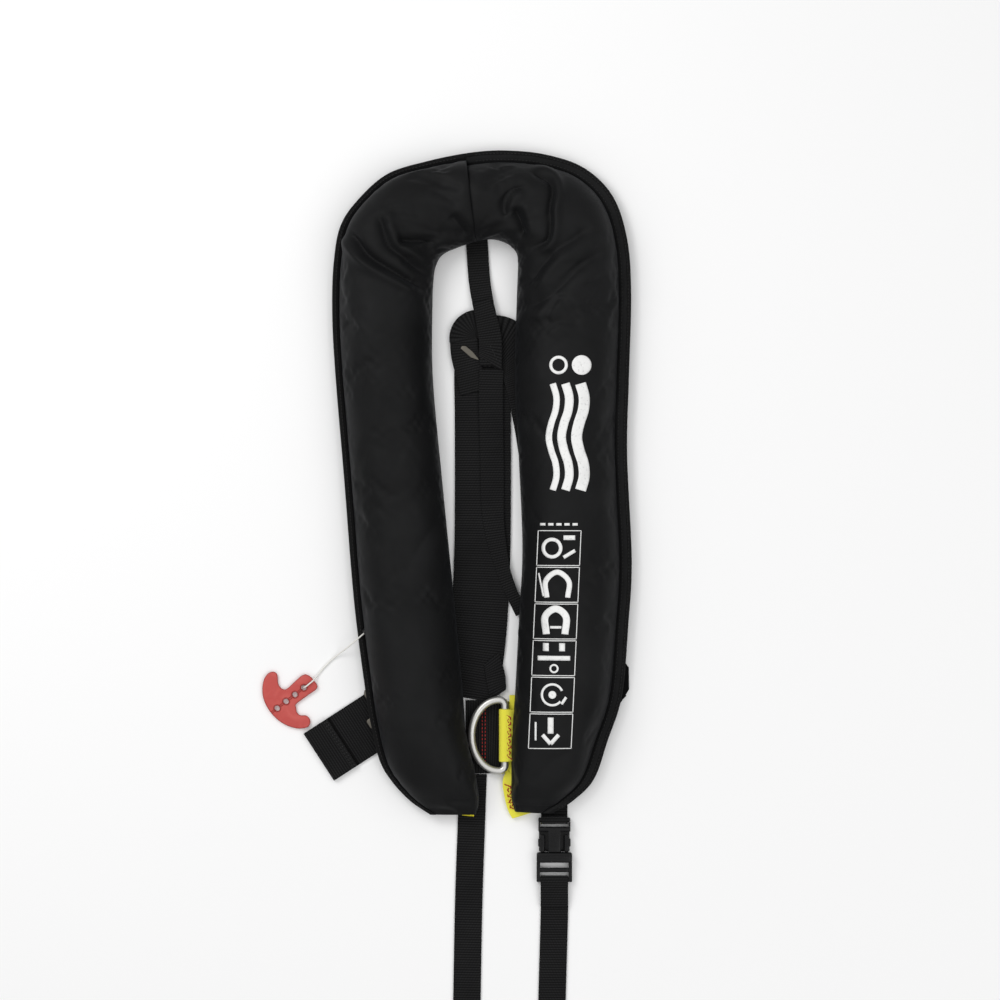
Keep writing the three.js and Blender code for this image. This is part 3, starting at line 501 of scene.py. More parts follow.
@dataclass(frozen=True)
class CoatedCloth(Finish):
    """Coated woven nylon with a soft sheen.

    Fields: two tones, the roughness of the coating, the depth of its small creases and the
    strength of the sheen.
    """

    tones: tuple[Point, Point] = ((0.0040, 0.0041, 0.0043), (0.0080, 0.0082, 0.0086))
    rough: float = 0.60
    crease: float = 0.00030
    sheen: float = 0.025
    gloss: float = 0.13

    def build(self) -> bpy.types.Material:
        """Makes the material."""
        w = Wiring(self.name)
        broad = w.noise(14, 4, 0.55, warp=0.4)
        patches = w.noise(55, 3, 0.6)
        colour = w.tint(w.span(broad, 0, 1), *self.tones)
        threads = w.math("MULTIPLY", *(w.node("TexWave", {
            "Vector": w.place(), "Scale": 190, "Distortion": 0.6, "Detail Scale": 2},
            wave_type="BANDS", bands_direction=axis).outputs["Fac"] for axis in "XY"))
        bump = w.bump(threads, 0.00004, 0.6)
        bump = w.bump(w.noise(38, 2, 0.5, at=w.place((1, 0.55, 1), 0.5), warp=0.8), self.crease, 0.55, bump)
        bump = w.bump(w.noise(130, 3, 0.6), self.crease * 0.22, 0.5, bump)
        return w.surface(
            Base_Color=colour, Roughness=w.span(patches, self.rough - 0.05, self.rough + 0.07),
            Normal=bump, Specular_IOR_Level=self.gloss, Sheen_Weight=self.sheen, Sheen_Roughness=0.45,
            Sheen_Tint=(0.85, 0.9, 1, 1))


@dataclass(frozen=True)
class Webbing(Finish):
    """Woven webbing. Its map runs across in the first number and along in the second.

    Fields: the colour of the yarn's top and of the gaps, the pitch of the ribs, and how far its
    colour varies. The gaps' darker colour is painted shade in the grooves between the ribs.
    """

    light: Point = (0.021, 0.021, 0.0215)
    dark: Point = (0.0012, 0.0012, 0.0013)
    pitch: float = 0.0022
    depth: float = 0.00022
    sheen: float = 0.10

    def build(self) -> bpy.types.Material:
        """Makes the material."""
        w = Wiring(self.name)
        ribs = w.node("TexWave", {"Vector": w.place(uv=True), "Scale": math.pi / 10 / self.pitch,
                                  "Distortion": 0.0}, wave_type="BANDS", bands_direction="Y").outputs["Fac"]
        yarns = w.node("TexWave", {"Vector": w.place((1, 0.5, 1), uv=True),
                                   "Scale": math.pi / 10 / (self.pitch * 0.55), "Distortion": 0.8,
                                   "Detail": 1, "Detail Scale": 3}, wave_type="BANDS",
                       bands_direction="DIAGONAL").outputs["Fac"]
        woven = w.math("MULTIPLY", w.math("POWER", ribs, 0.7), w.span(yarns, 0.62, 1, 0, 1))
        fuzz = w.noise(900, 3, 0.7, at=w.place(uv=True))
        wear = w.noise(24, 4, 0.6)
        # The colour follows the ribs' height: the gaps are darkened as painted shade, while the fuzz and wear vary the
        # tone at random.
        shade = w.math("MULTIPLY", woven, w.math("MULTIPLY", w.span(fuzz, 0.6, 1), w.span(wear, 0.75, 1.1)))
        bump = w.bump(woven, self.depth, 0.8)
        bump = w.bump(fuzz, 0.00006, 0.7, bump)
        return w.surface(Base_Color=w.tint(shade, self.dark, self.light), Normal=bump,
                         Roughness=w.span(fuzz, 0.72, 0.92), Specular_IOR_Level=0.12,
                         Sheen_Weight=self.sheen, Sheen_Roughness=0.4)


@dataclass(frozen=True)
class Moulded(Finish):
    """Moulded plastic with a fine grain, or smooth rubber."""

    colour: Point = (0.012, 0.012, 0.013)
    second: Point = (0.02, 0.02, 0.021)
    rough: float = 0.38
    grain: float = 0.00004
    soft: float = 0.0
    gloss: float = 0.4

    def build(self) -> bpy.types.Material:
        """Makes the material."""
        w = Wiring(self.name)
        grain = w.noise(1500, 2, 0.6)
        flow = w.noise(60, 3, 0.5, warp=1.2)
        rubbed = w.span(w.node("NewGeometry").outputs["Pointiness"], 0, 1, 0.51, 0.58)
        mixed = w.math("MAXIMUM", w.span(flow, 0, 0.6), rubbed)
        bump = w.bump(grain, self.grain, 0.6)
        bump = w.bump(flow, 0.0002, 0.25, bump)
        return w.surface(Base_Color=w.tint(mixed, self.colour, self.second), Normal=bump,
                         Roughness=w.span(grain, self.rough - 0.05, self.rough + 0.08),
                         Specular_IOR_Level=self.gloss, Subsurface_Weight=self.soft, Subsurface_Scale=0.002)


@dataclass(frozen=True)
class Steel(Finish):
    """Polished or brushed metal with fine scratches."""

    colour: Point = (0.72, 0.71, 0.69)
    rough: float = 0.14
    scratch: float = 0.00002

    def build(self) -> bpy.types.Material:
        """Makes the material."""
        w = Wiring(self.name)
        lines = w.noise(900, 4, 0.7, at=w.place((1, 0.12, 1), 0.6))
        smudge = w.noise(45, 3, 0.6, warp=0.6)
        dull = tuple(0.82 * c for c in self.colour)
        return w.surface(Base_Color=w.tint(w.span(smudge, 0, 1), self.colour, dull), Metallic=1.0,
                         Roughness=w.math("ADD", w.span(lines, self.rough - 0.04, self.rough + 0.08),
                                          w.span(smudge, 0, 0.08)),
                         Normal=w.bump(lines, self.scratch, 0.6))


@dataclass(frozen=True)
class Yarn(Finish):
    """Twisted or braided yarn. Its map runs round in the first number and along in the second."""

    light: Point = (0.75, 0.75, 0.73)
    dark: Point = (0.35, 0.35, 0.34)
    pitch: float = 0.0016

    def build(self) -> bpy.types.Material:
        """Makes the material."""
        w = Wiring(self.name)
        scale = math.pi / 10 / self.pitch
        strands = [w.node("TexWave", {"Vector": w.place((1.6 * side, 1, 1), uv=True), "Scale": scale},
                          wave_type="BANDS", bands_direction="DIAGONAL").outputs["Fac"] for side in (1, -1)]
        braid = w.math("MAXIMUM", *strands)
        fuzz = w.noise(1800, 2, 0.6)
        # The colour follows the braid's height: the gaps between strands take the dark colour as painted shade, while
        # the fuzz varies the tone at random.
        shade = w.math("MULTIPLY", braid, w.span(fuzz, 0.75, 1))
        return w.surface(Base_Color=w.tint(shade, self.dark, self.light), Roughness=w.span(fuzz, 0.6, 0.8),
                         Normal=w.bump(braid, 0.0001, 0.7), Sheen_Weight=0.2, Specular_IOR_Level=0.3)


@dataclass(frozen=True)
class Ink(Finish):
    """A printed layer, slightly rubbed."""

    colour: Point = (0.86, 0.86, 0.85)
    worn: Point = (0.6, 0.6, 0.6)

    def build(self) -> bpy.types.Material:
        """Makes the material."""
        w = Wiring(self.name)
        spots = w.noise(420, 4, 0.65)
        return w.surface(Base_Color=w.tint(w.span(spots, 0, 1, 0.56, 0.72), self.colour, self.worn),
                         Roughness=w.span(spots, 0.5, 0.65), Specular_IOR_Level=0.35,
                         Normal=w.bump(w.noise(900, 2, 0.5), 0.00003, 0.5))


@dataclass(frozen=True)
class Fleece(Finish):
    """Hook or loop tape: a dense pile of tiny loops."""

    colour: Point = (0.012, 0.012, 0.013)

    def build(self) -> bpy.types.Material:
        """Makes the material."""
        w = Wiring(self.name)
        pile = w.node("TexVoronoi", {"Vector": w.place(), "Scale": 1100}).outputs["Distance"]
        tone = tuple(2.4 * c for c in self.colour)
        return w.surface(Base_Color=w.tint(w.span(pile, 1, 0, 0, 0.7), self.colour, tone), Roughness=0.95,
                         Normal=w.bump(pile, 0.0004, 0.9), Sheen_Weight=0.4, Specular_IOR_Level=0.2)


BLACK_NYLON = CoatedCloth("cover_nylon")
LINING_NYLON = CoatedCloth("lining_nylon", ((0.005, 0.005, 0.0055), (0.010, 0.010, 0.011)), 0.6, 0.0008, 0.06, 0.13)
YELLOW_NYLON = CoatedCloth("bladder_nylon", ((0.72, 0.62, 0.02), (0.86, 0.76, 0.05)), 0.48, 0.0004, 0.1)
BLACK_WEBBING = Webbing("harness_webbing")
BINDING_TAPE = Webbing("binding_tape", (0.010, 0.010, 0.0105), (0.005, 0.005, 0.005), 0.0012, 0.00006, 0.04)
# A near-black copy of the webbing, used only as painted shadow beside the belt tail's hem.
PAINTED_SHADOW_WEBBING = Webbing("folded_webbing", (0.0022, 0.0022, 0.0022), (0.0006, 0.0006, 0.0006))
YELLOW_WEBBING = Webbing("becket_webbing", (0.88, 0.78, 0.035), (0.5, 0.4, 0.01), 0.0016, 0.00018, 0.2)
BLACK_PLASTIC = Moulded("acetal_black", (0.004, 0.004, 0.0045), (0.009, 0.009, 0.0095), 0.26, gloss=0.16)
RED_PLASTIC = Moulded("handle_red", (0.47, 0.052, 0.045), (0.60, 0.115, 0.095), 0.42, 0.00005, 0.06)
# A darker copy of the handle's red: painted shade along the handle's groove, round its eyes and along its rim.
PAINTED_SHADE_RED = Moulded("handle_groove", (0.26, 0.018, 0.014), (0.34, 0.03, 0.025), 0.5)
GREEN_PLASTIC = Moulded("clip_green", (0.03, 0.30, 0.07), (0.05, 0.40, 0.10), 0.4)
WHITE_PLASTIC = Moulded("plastic_white", (0.72, 0.72, 0.70), (0.80, 0.80, 0.78), 0.4)
BLACK_RUBBER = Moulded("rubber_black", (0.008, 0.008, 0.008), (0.014, 0.014, 0.014), 0.62, 0.00003, gloss=0.2)
STAINLESS = Steel("stainless", (0.29, 0.285, 0.275), 0.15)
BRASS = Steel("nickelled_brass", (0.14, 0.13, 0.11), 0.3)
GAS_STEEL = Steel("gas_steel", (0.56, 0.57, 0.58), 0.32, 0.00005)
WHITE_CORD = Yarn("cord_braid")
RED_THREAD = Yarn("thread_red", (0.72, 0.035, 0.03), (0.40, 0.015, 0.012), 0.0008)
BLACK_THREAD = Yarn("thread_black", (0.035, 0.035, 0.037), (0.012, 0.012, 0.012), 0.0008)
WHITE_INK = Ink("print_white")
CLOSURE_TAPE = Fleece("closure_pile")


# ---------------------------------------------------------------- repeated shapes

@dataclass
class Rows:
    """A Geometry Nodes tree that sets one small shape again and again along lines.

    Fields: the shape, its size along, across and up in metres, the pitch from one to the next,
    the turn about its own length or the surface, in radians, and a small random spread.
    """

    pitch: float = 0.0032
    size: tuple[float, float, float] = (0.0024, 0.0006, 0.0005)
    turn: float = 0.0
    spread: float = 0.06
    seed: int = 3
    round_ends: bool = True

    def tree(self) -> bpy.types.NodeTree:
        """Builds the tree with its named inputs."""
        tree = bpy.data.node_groups.new("row_of_repeats", "GeometryNodeTree")
        face = tree.interface
        face.new_socket("Line", in_out="INPUT", socket_type="NodeSocketGeometry")
        for name, kind in (("Pitch", "Float"), ("Size", "Vector"), ("Turn", "Float"),
                           ("Spread", "Float"), ("Seed", "Int"), ("Finish", "Material")):
            face.new_socket(name, in_out="INPUT", socket_type="NodeSocket" + kind)
        face.new_socket("Row", in_out="OUTPUT", socket_type="NodeSocketGeometry")
        nodes, links = tree.nodes, tree.links
        given, out = nodes.new("NodeGroupInput"), nodes.new("NodeGroupOutput")

        def add(kind: str, feeds: dict, **settings: Any) -> bpy.types.Node:
            """A node with its inputs fed."""
            made = nodes.new(kind)
            for name, value in settings.items():
                setattr(made, name, value)
            for key, value in feeds.items():
                if isinstance(value, bpy.types.NodeSocket):
                    links.new(value, made.inputs[key])
                else:
                    made.inputs[key].default_value = value
            return made

        curve = add("GeometryNodeMeshToCurve", {"Mesh": given.outputs["Line"]})
        count = add("GeometryNodeResampleCurve", {"Curve": curve.outputs[0], "Length": given.outputs["Pitch"]},
                    mode="LENGTH")
        bead = add("GeometryNodeMeshUVSphere", {"Segments": 8, "Rings": 5, "Radius": 0.5})
        tangent = add("GeometryNodeInputTangent", {})
        up = add("GeometryNodeInputNamedAttribute", {"Name": "lift"}, data_type="FLOAT_VECTOR")
        aim = add("FunctionNodeAlignRotationToVector", {"Vector": tangent.outputs[0]}, axis="X")
        lift = add("FunctionNodeAlignRotationToVector", {"Rotation": aim.outputs[0],
                                                         "Vector": up.outputs["Attribute"]},
                   axis="Z", pivot_axis="X")
        jitter = add("FunctionNodeRandomValue", {"Seed": given.outputs["Seed"]}, data_type="FLOAT")
        low = add("ShaderNodeMath", {0: given.outputs["Spread"], 1: -1.0}, operation="MULTIPLY")
        links.new(low.outputs[0], jitter.inputs[2])
        links.new(given.outputs["Spread"], jitter.inputs[3])
        swing = add("ShaderNodeMath", {0: given.outputs["Turn"], 1: jitter.outputs[1]}, operation="ADD")
        axis = add("ShaderNodeCombineXYZ", {"Z": swing.outputs[0]})
        turned = add("FunctionNodeRotateRotation", {"Rotation": lift.outputs[0], "Rotate By": axis.outputs[0]},
                     rotation_space="LOCAL")
        placed = add("GeometryNodeInstanceOnPoints", {
            "Points": count.outputs[0], "Instance": bead.outputs["Mesh"], "Rotation": turned.outputs[0],
            "Scale": given.outputs["Size"]})
        real = add("GeometryNodeRealizeInstances", {"Geometry": placed.outputs[0]})
        done = add("GeometryNodeSetMaterial", {"Geometry": real.outputs[0], "Material": given.outputs["Finish"]})
        links.new(done.outputs[0], out.inputs["Row"])
        return tree

    def along(self, name: str, lines: Sequence[Array], ups: Sequence[Array], finish: Finish) -> bpy.types.Object:
        """A row of repeats along each line.

        Args:
            name: the piece's name.
            lines: places in metres, one array for each line.
            ups: the outward direction at each of those places.
            finish: what the repeats are made of.

        Returns:
            One plain mesh.
        """
        points, edges = [], []
        for line in lines:
            start = sum(len(p) for p in points)
            points.append(line)
            edges += [(start + i, start + i + 1) for i in range(len(line) - 1)]
        mesh = bpy.data.meshes.new(name)
        mesh.from_pydata([tuple(p) for p in np.vstack(points)], edges, [])
        lift = mesh.attributes.new("lift", "FLOAT_VECTOR", "POINT")
        lift.data.foreach_set("vector", np.vstack(ups).astype(np.float32).ravel())
        thing = bpy.data.objects.new(name, mesh)
        bpy.context.scene.collection.objects.link(thing)
        modifier = thing.modifiers.new("row", "NODES")
        modifier.node_group = self.tree()
        values = {"Pitch": self.pitch, "Size": self.size, "Turn": self.turn, "Spread": self.spread,
                  "Seed": self.seed, "Finish": finish.material()}
        for item in modifier.node_group.interface.items_tree:
            if item.in_out == "INPUT" and item.name in values:
                modifier[item.identifier] = values[item.name]
        settle(thing)
        thing.data.polygons.foreach_set("use_smooth", [True] * len(thing.data.polygons))
        return thing


# ---------------------------------------------------------------- the cover's shape

class Side(Enum):
    """A side of the jacket as it lies, with its sign along X."""

    LEFT = -1
    RIGHT = 1


@dataclass(frozen=True)
class Crease:
    """A fold line in the cover: depth and half width in millimetres, and its places.

    A roll stands up beside it, by a share of its depth: on the left going along it, or on the
    right where the share is negative.
    """

    depth: float
    width: float
    places: tuple[tuple[float, float], ...]
    roll: float = 0.35


@dataclass(frozen=True)
class Course:
    """Where the cover runs: its places at fractions from one lobe's end to the other's."""

    def at(self, fractions: Array) -> tuple[Array, Array, Array, Array]:
        """Middle, outward direction, half width and height at fractions of the way round."""
        neck = catmull(STATIONS[:, :2], fractions)
        seam = catmull(STATIONS[:, 2:4], fractions)
        height = catmull(STATIONS[:, 4:], fractions)[:, 0]
        return (neck + seam) / 2, unit(seam - neck), np.linalg.norm(seam - neck, axis=1) / 2, height

    def evenly(self, start: float, end: float, step: float) -> Array:
        """Fractions from start to end, one for each step of millimetres along the middle."""
        fine = np.linspace(start, end, 600)
        run = length_of(self.at(fine)[0])
        return np.interp(np.linspace(0, run[-1], max(2, round(run[-1] / step)) + 1), run, fine)

    def rings(self, fractions: Array, section: Callable[[Array, Array], Array]) -> Array:
        """Places of a section along the cover.

        Args:
            fractions: where the rings stand.
            section: from half widths and heights, [ring, point, (outward, up)].

        Returns:
            Places as [ring, point, xyz] in millimetres.
        """
        middle, outward, half, height = self.at(fractions)
        shape = section(half, height)
        flat = middle[:, None, :] + outward[:, None, :] * shape[:, :, :1]
        return np.concatenate([flat, shape[:, :, 1:2]], axis=2)


COURSE = Course()


def grid_faces(rows: int, columns: int) -> list[list[int]]:
    """Quads of an open grid, facing up where rows run forwards and columns to the left."""
    return [[r * columns + c, r * columns + c + 1, (r + 1) * columns + c + 1, (r + 1) * columns + c]
            for r in range(rows - 1) for c in range(columns - 1)]


def ripples(places: Array, waves: Array, seed: int, count: int = 14) -> Array:
    """Soft random hills over places, about -1 to 1.

    Args:
        places: rows of places in millimetres.
        waves: shortest and longest wave in millimetres.
        seed: picks the pattern.
        count: how many waves are added.

    Returns:
        One number for each place.
    """
    dice = np.random.default_rng(seed)
    total = np.zeros(places.shape[:-1])
    for _ in range(count):
        way = unit(dice.normal(size=places.shape[-1]))
        total += np.sin(places @ way * 2 * math.pi / dice.uniform(*waves) + dice.uniform(0, 7))
    return total / math.sqrt(count)


def towards(line: Array, places: Array) -> tuple[Array, Array]:
    """How far places lie to the left of a line in the plane, and how far along it they are.

    Args:
        line: its corners, as [x, y] rows.
        places: places as [..., 2].

    Returns:
        The signed distance, and the fraction of the line's length from 0 to 1.
    """
    run = length_of(line)
    best = np.full(places.shape[:-1], 1e9)
    signed, along = best.copy(), np.zeros_like(best)
    for i in range(len(line) - 1):
        span = line[i + 1] - line[i]
        long = np.linalg.norm(span)
        offset = places - line[i]
        t = np.clip(offset @ span / long**2, 0, 1)
        away = places - (line[i] + t[..., None] * span)
        gap = np.linalg.norm(away, axis=-1)
        near = gap < best
        side = np.sign(span[0] * offset[..., 1] - span[1] * offset[..., 0])
        best[near] = gap[near]
        signed[near] = (gap * side)[near]
        along[near] = ((run[i] + t * long) / run[-1])[near]
    return signed, along


# ---------------------------------------------------------------- cover

@dataclass
class CoverHalf:
    """One half of the front cover: a puffed tube of cloth with a flat seam on its outer side.

    Fields: its side, its stretch of the course, the seam's width, how much longer the cloth is
    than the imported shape, its folds, and the seed of its small creases.
    """

    side: Side
    start: float
    end: float
    seam: float
    creases: tuple[Crease, ...]
    seed: int
    slack: float = 0.004
    shoulder_slack: float = 0.022
    pressure: float = 4.0
    most_move: float = 5.0
    nape_rise: float = 2.6
    slope: float = 0.8
    hem: float | None = None
    finish: Finish = BLACK_NYLON
    columns: int = 26
    step: float = 5.0
    finer: int = 3
    top: Array = field(init=False, default=None)
    fractions: Array = field(init=False, default=None)

    @property
    def name(self) -> str:
        """The piece's name."""
        return f"cover_cloth_{self.side.name.lower()}"

    def dome(self, half: Array, height: Array) -> Array:
        """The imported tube's section from the outer seam over the top to the neck edge."""
        turn = np.linspace(0, math.pi, self.columns + 1)
        across = np.sign(np.cos(turn)) * np.abs(np.cos(turn)) ** 0.82
        up = np.sin(turn) ** np.where(turn < math.pi / 2, self.slope, 0.8)
        wall = half - np.minimum(self.seam, half / 2)
        base = 10.6 + (7.6 - 10.6) * smoothstep(-0.2, 0.9, -np.cos(turn))
        shape = np.empty((len(half), len(turn), 2))
        shape[:, :, 0] = (wall - half)[:, None] / 2 + ((half + wall) / 2)[:, None] * across
        shape[:, :, 1] = base + (height[:, None] - 1.2 - base) * up
        return shape

    def inflated(self, places: Array) -> Array:
        """Lets pressure puff the cloth out between its seams.

        Args:
            places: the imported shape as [row, column, xyz] in millimetres.

        Returns:
            The settled shape, no further than most_move from where it began.
        """
        rows, columns = places.shape[:2]
        thing = make_mesh("settling_cloth", places.reshape(-1, 3) * MM, grid_faces(rows, columns))
        held = thing.vertex_groups.new(name="held")
        number = np.arange(rows * columns).reshape(rows, columns)
        rim = set(number[0]) | set(number[-1]) | set(number[:, 0]) | set(number[:, -1])
        held.add([int(i) for i in rim], 1.0, "REPLACE")
        tight = thing.vertex_groups.new(name="tight")
        lobe = smoothstep(-60, -150, places[:, :, 1]).reshape(-1)
        for i, weight in enumerate(lobe):
            tight.add([i], float(weight), "REPLACE")
        modifier = thing.modifiers.new("cloth", "CLOTH")
        cloth = modifier.settings
        cloth.quality = 6
        cloth.mass = 0.25
        cloth.tension_stiffness = cloth.compression_stiffness = 18
        cloth.shear_stiffness = 6
        cloth.bending_stiffness = 0.6
        cloth.air_damping = 2
        cloth.vertex_group_mass = "held"
        cloth.use_pressure = True
        cloth.uniform_pressure_force = self.pressure
        cloth.vertex_group_shrink = "tight"
        cloth.shrink_min = -self.shoulder_slack
        cloth.shrink_max = -self.slack
        cloth.effector_weights.gravity = 0
        modifier.collision_settings.use_self_collision = False
        modifier.collision_settings.use_collision = False
        scene = bpy.context.scene
        for frame in range(1, 21):
            scene.frame_set(frame)
        settle(thing)
        moved = points_of(thing).reshape(rows, columns, 3) / MM
        bpy.data.objects.remove(thing)
        scene.frame_set(1)
        shift = moved - places
        far = np.linalg.norm(shift, axis=2, keepdims=True)
        near_seam = smoothstep(0, 5, np.arange(columns))[None, :, None]
        return places + shift / np.maximum(far, 1e-6) * self.most_move * np.tanh(far / self.most_move) * near_seam

    def folded(self, places: Array) -> Array:
        """Presses the folds, puckers and small creases into the fine grid."""
        along, across = np.gradient(places, axis=0), np.gradient(places, axis=1)
        normal = unit(np.cross(along, across))
        if normal[len(normal) // 2, normal.shape[1] // 2, 2] < 0:
            normal = -normal
        lift = 0.22 * ripples(places, (26, 70), self.seed)
        rows, columns = places.shape[:2]
        seam_gap = np.minimum(np.arange(columns), np.arange(columns)[::-1]) * 150 / columns
        run = length_of(places[:, columns // 2])[:, None]
        gather = ripples(np.broadcast_to(run[..., None], (rows, 1, 1)), (7, 13), self.seed + 1, 5)
        lift += 0.22 * gather * np.exp(-((seam_gap - 6) / 6) ** 2)
        nape_gap = np.abs(length_of(places[:, columns // 2])[:, None] -
                          (run[-1] if self.end < 0.6 else run[0]))
        lift -= 0.25 * np.exp(-(nape_gap / 1.0) ** 2)
        if self.hem is not None:
            edge = np.abs(nape_gap.max() - nape_gap - self.hem)
            lift -= 0.8 * np.exp(-(edge / 1.3) ** 2)
        for crease in self.creases:
            line = even_line(crease.places, 4)
            gap, far = towards(line, places[:, :, :2])
            fade = smoothstep(0, 0.16, far) * smoothstep(0, 0.2, 1 - far)
            width = crease.width
            lift -= crease.depth * fade * np.exp(-(np.abs(gap) / width) ** 1.15)
            beside = gap * math.copysign(1, crease.roll)
            lift += crease.depth * abs(crease.roll) * fade * np.exp(-((beside - 2.1 * width) / (1.3 * width)) ** 2)
        inner = smoothstep(0, 0.06, np.linspace(0, 1, columns)) * smoothstep(0, 0.06, np.linspace(1, 0, columns))
        return places + normal * (lift * inner)[..., None]

    def closed(self, top: Array) -> bpy.types.Object:
        """Adds the outer seam's flat flange and the underside to the puffed top."""
        middle, outward, half, _ = COURSE.at(self.fractions)
        wall = half - np.minimum(self.seam, half / 2)

        def ribbon(offset: Array, up: Array) -> Array:
            """One line of places at an offset outward and a height."""
            return np.concatenate([middle + outward * offset[:, None], up[:, None]], 1)[:, None]

        run = length_of(middle)[:, None]
        wave = ripples(run, (9, 17), self.seed + 5, 5) * 0.3
        level = np.ones_like(half)
        flange = [ribbon(half - 0.1, 9.6 * level), ribbon(half + 0.3, 10.3 * level),
                  ribbon(half, FLANGE_TOP + 0.2 + wave * 0.3)]
        width = half - wall
        for share, up in ((0.2, 0.3), (0.45, 0.5), (0.7, 0.35), (0.88, -0.1), (0.96, -0.7)):
            flange.append(ribbon(half - width * share, FLANGE_TOP + up + wave * (1 - share)))
        under = [ribbon(-half + 0.6, 7.25 * level), ribbon(-half + 6, 7.2 * level),
                 ribbon(wall - 1, 7.2 * level), ribbon(wall - 0.5, 9.5 * level)]
        rings = np.concatenate([*flange, top, *under], axis=1)
        rows, around = rings.shape[:2]
        thing = make_mesh(self.name, rings.reshape(-1, 3) * MM, tube_faces(rows, around))
        return facing_out(thing)

    def build(self) -> bpy.types.Object:
        """Makes the half, closed and dressed, and keeps its top for what lies on it."""
        coarse = COURSE.evenly(self.start, self.end, self.step)
        packed = COURSE.rings(coarse, self.dome)
        run = length_of(COURSE.at(coarse)[0])
        nape_gap = run[-1] - run if self.end < 0.6 else run
        rise = np.exp(-(nape_gap / 22) ** 2)[:, None] * np.sin(np.linspace(0, math.pi, self.columns + 1))
        packed[:, :, 2] += self.nape_rise * rise
        puffed = self.inflated(packed)
        rows = np.linspace(0, 1, (len(coarse) - 1) * self.finer + 1)
        across = np.linspace(0, 1, self.columns * self.finer + 1)
        fine = catmull(puffed.reshape(len(coarse), -1), rows).reshape(len(rows), -1, 3)
        fine = catmull(fine.transpose(1, 0, 2).reshape(fine.shape[1], -1), across)
        fine = fine.reshape(len(across), len(rows), 3).transpose(1, 0, 2)
        self.fractions = catmull(coarse[:, None], rows)[:, 0]
        self.top = self.folded(fine)
        thing = dress(self.closed(self.top), self.finish)
        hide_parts(f"cover_front_{self.side.name.lower()}")
        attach(thing, "jacket")
        LOG.info("%s: %d faces", thing.name, len(thing.data.polygons))
        return thing

    def stitching(self, offsets: Sequence[tuple[float, float]]) -> None:
        """Sews rows of thread along the flat seam, each at an offset inward and a height above it."""
        lines = [self.seam_line(offset, up, 8) for offset, up in offsets]
        ups = [np.broadcast_to(np.array([0.0, 0.0, 1.0]), line.shape) for line in lines]
        thing = Rows(0.0031, (0.0022, 0.0006, 0.00045)).along(
            f"seam_stitches_{self.side.name.lower()}", lines, ups, BLACK_THREAD)
        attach(thing, "jacket")

    def seam_line(self, offset: float, up: float, skip: float = 0.0) -> Array:
        """Places along the flat seam, at an offset inward of its outer edge, in metres."""
        middle, outward, half, _ = COURSE.at(self.fractions)
        flat = middle + outward * (half - offset)[:, None]
        line = np.concatenate([flat, np.full((len(flat), 1), FLANGE_TOP + up)], 1) * MM
        cut = int(skip / (self.step / self.finer))
        return line[cut:len(line) - cut]


LEFT_CREASES = (
    Crease(7.6, 3.4, ((-116, -26), (-105, -42), (-96, -52), (-80, -62), (-65, -70), (-46, -80)), -0.6),
    Crease(6.0, 3.4, ((-90, -12), (-85, -23), (-82, -33), (-77, -44), (-66, -52), (-54, -61), (-42, -70)), 0.5),
    Crease(8, 5, ((-72, -38), (-60, -37.5), (-48, -38), (-36, -42)), 0.2),
    Crease(3, 4, ((-26, -16), (-18, -25), (-11, -34))),
    Crease(1.2, 6, ((-112, -270), (-98, -284), (-84, -308))),
    Crease(1.6, 6, ((-77, -272), (-72, -304), (-70, -336))),
    Crease(1.6, 6, ((-29, -272), (-52, -304), (-70, -336))),
    Crease(1.8, 14, ((-104, -212), (-84, -218), (-62, -226))),
    Crease(1.6, 7, ((-46, -448), (-31, -494), (-20, -530))),
)
RIGHT_CREASES = (
    Crease(6.8, 2.8, ((42, 22), (54, 19), (61, 14), (63, 4), (60, -10), (60, -24), (58, -36), (51, -42), (41, -44)),
           0.5),
    Crease(5, 3.2, ((40, 9), (33, 8), (26, 4), (21, -7), (22, -22)), 0.4),
    Crease(8.5, 4.2, ((29, -8), (34, -23), (36, -38)), 0.2),
    Crease(5, 5.4, ((99, -24), (80, -38), (66, -46), (52, -60), (38, -80)), 0.5),
    Crease(4.6, 5.4, ((110, -46), (86, -61), (70, -77), (54, -90), (34, -97)), 0.5),
    Crease(2.6, 5, ((112, -70), (89, -79), (70, -90))),
    Crease(2.4, 3.6, ((70, -84), (61, -98), (56, -111)), -0.5),
    Crease(2.4, 3.6, ((69, -84), (79, -100), (87, -111)), 0.5),
    Crease(1.6, 4, ((54, -112), (70, -108), (89, -112)), -0.5),
    Crease(1.4, 9, ((118, -180), (104, -215), (98, -260)), 0.3),
    Crease(1.4, 7, ((38, -380), (58, -402), (66, -440)), 0.3),
    Crease(1.6, 8, ((40, -512), (62, -490), (84, -478)), 0.3),
)


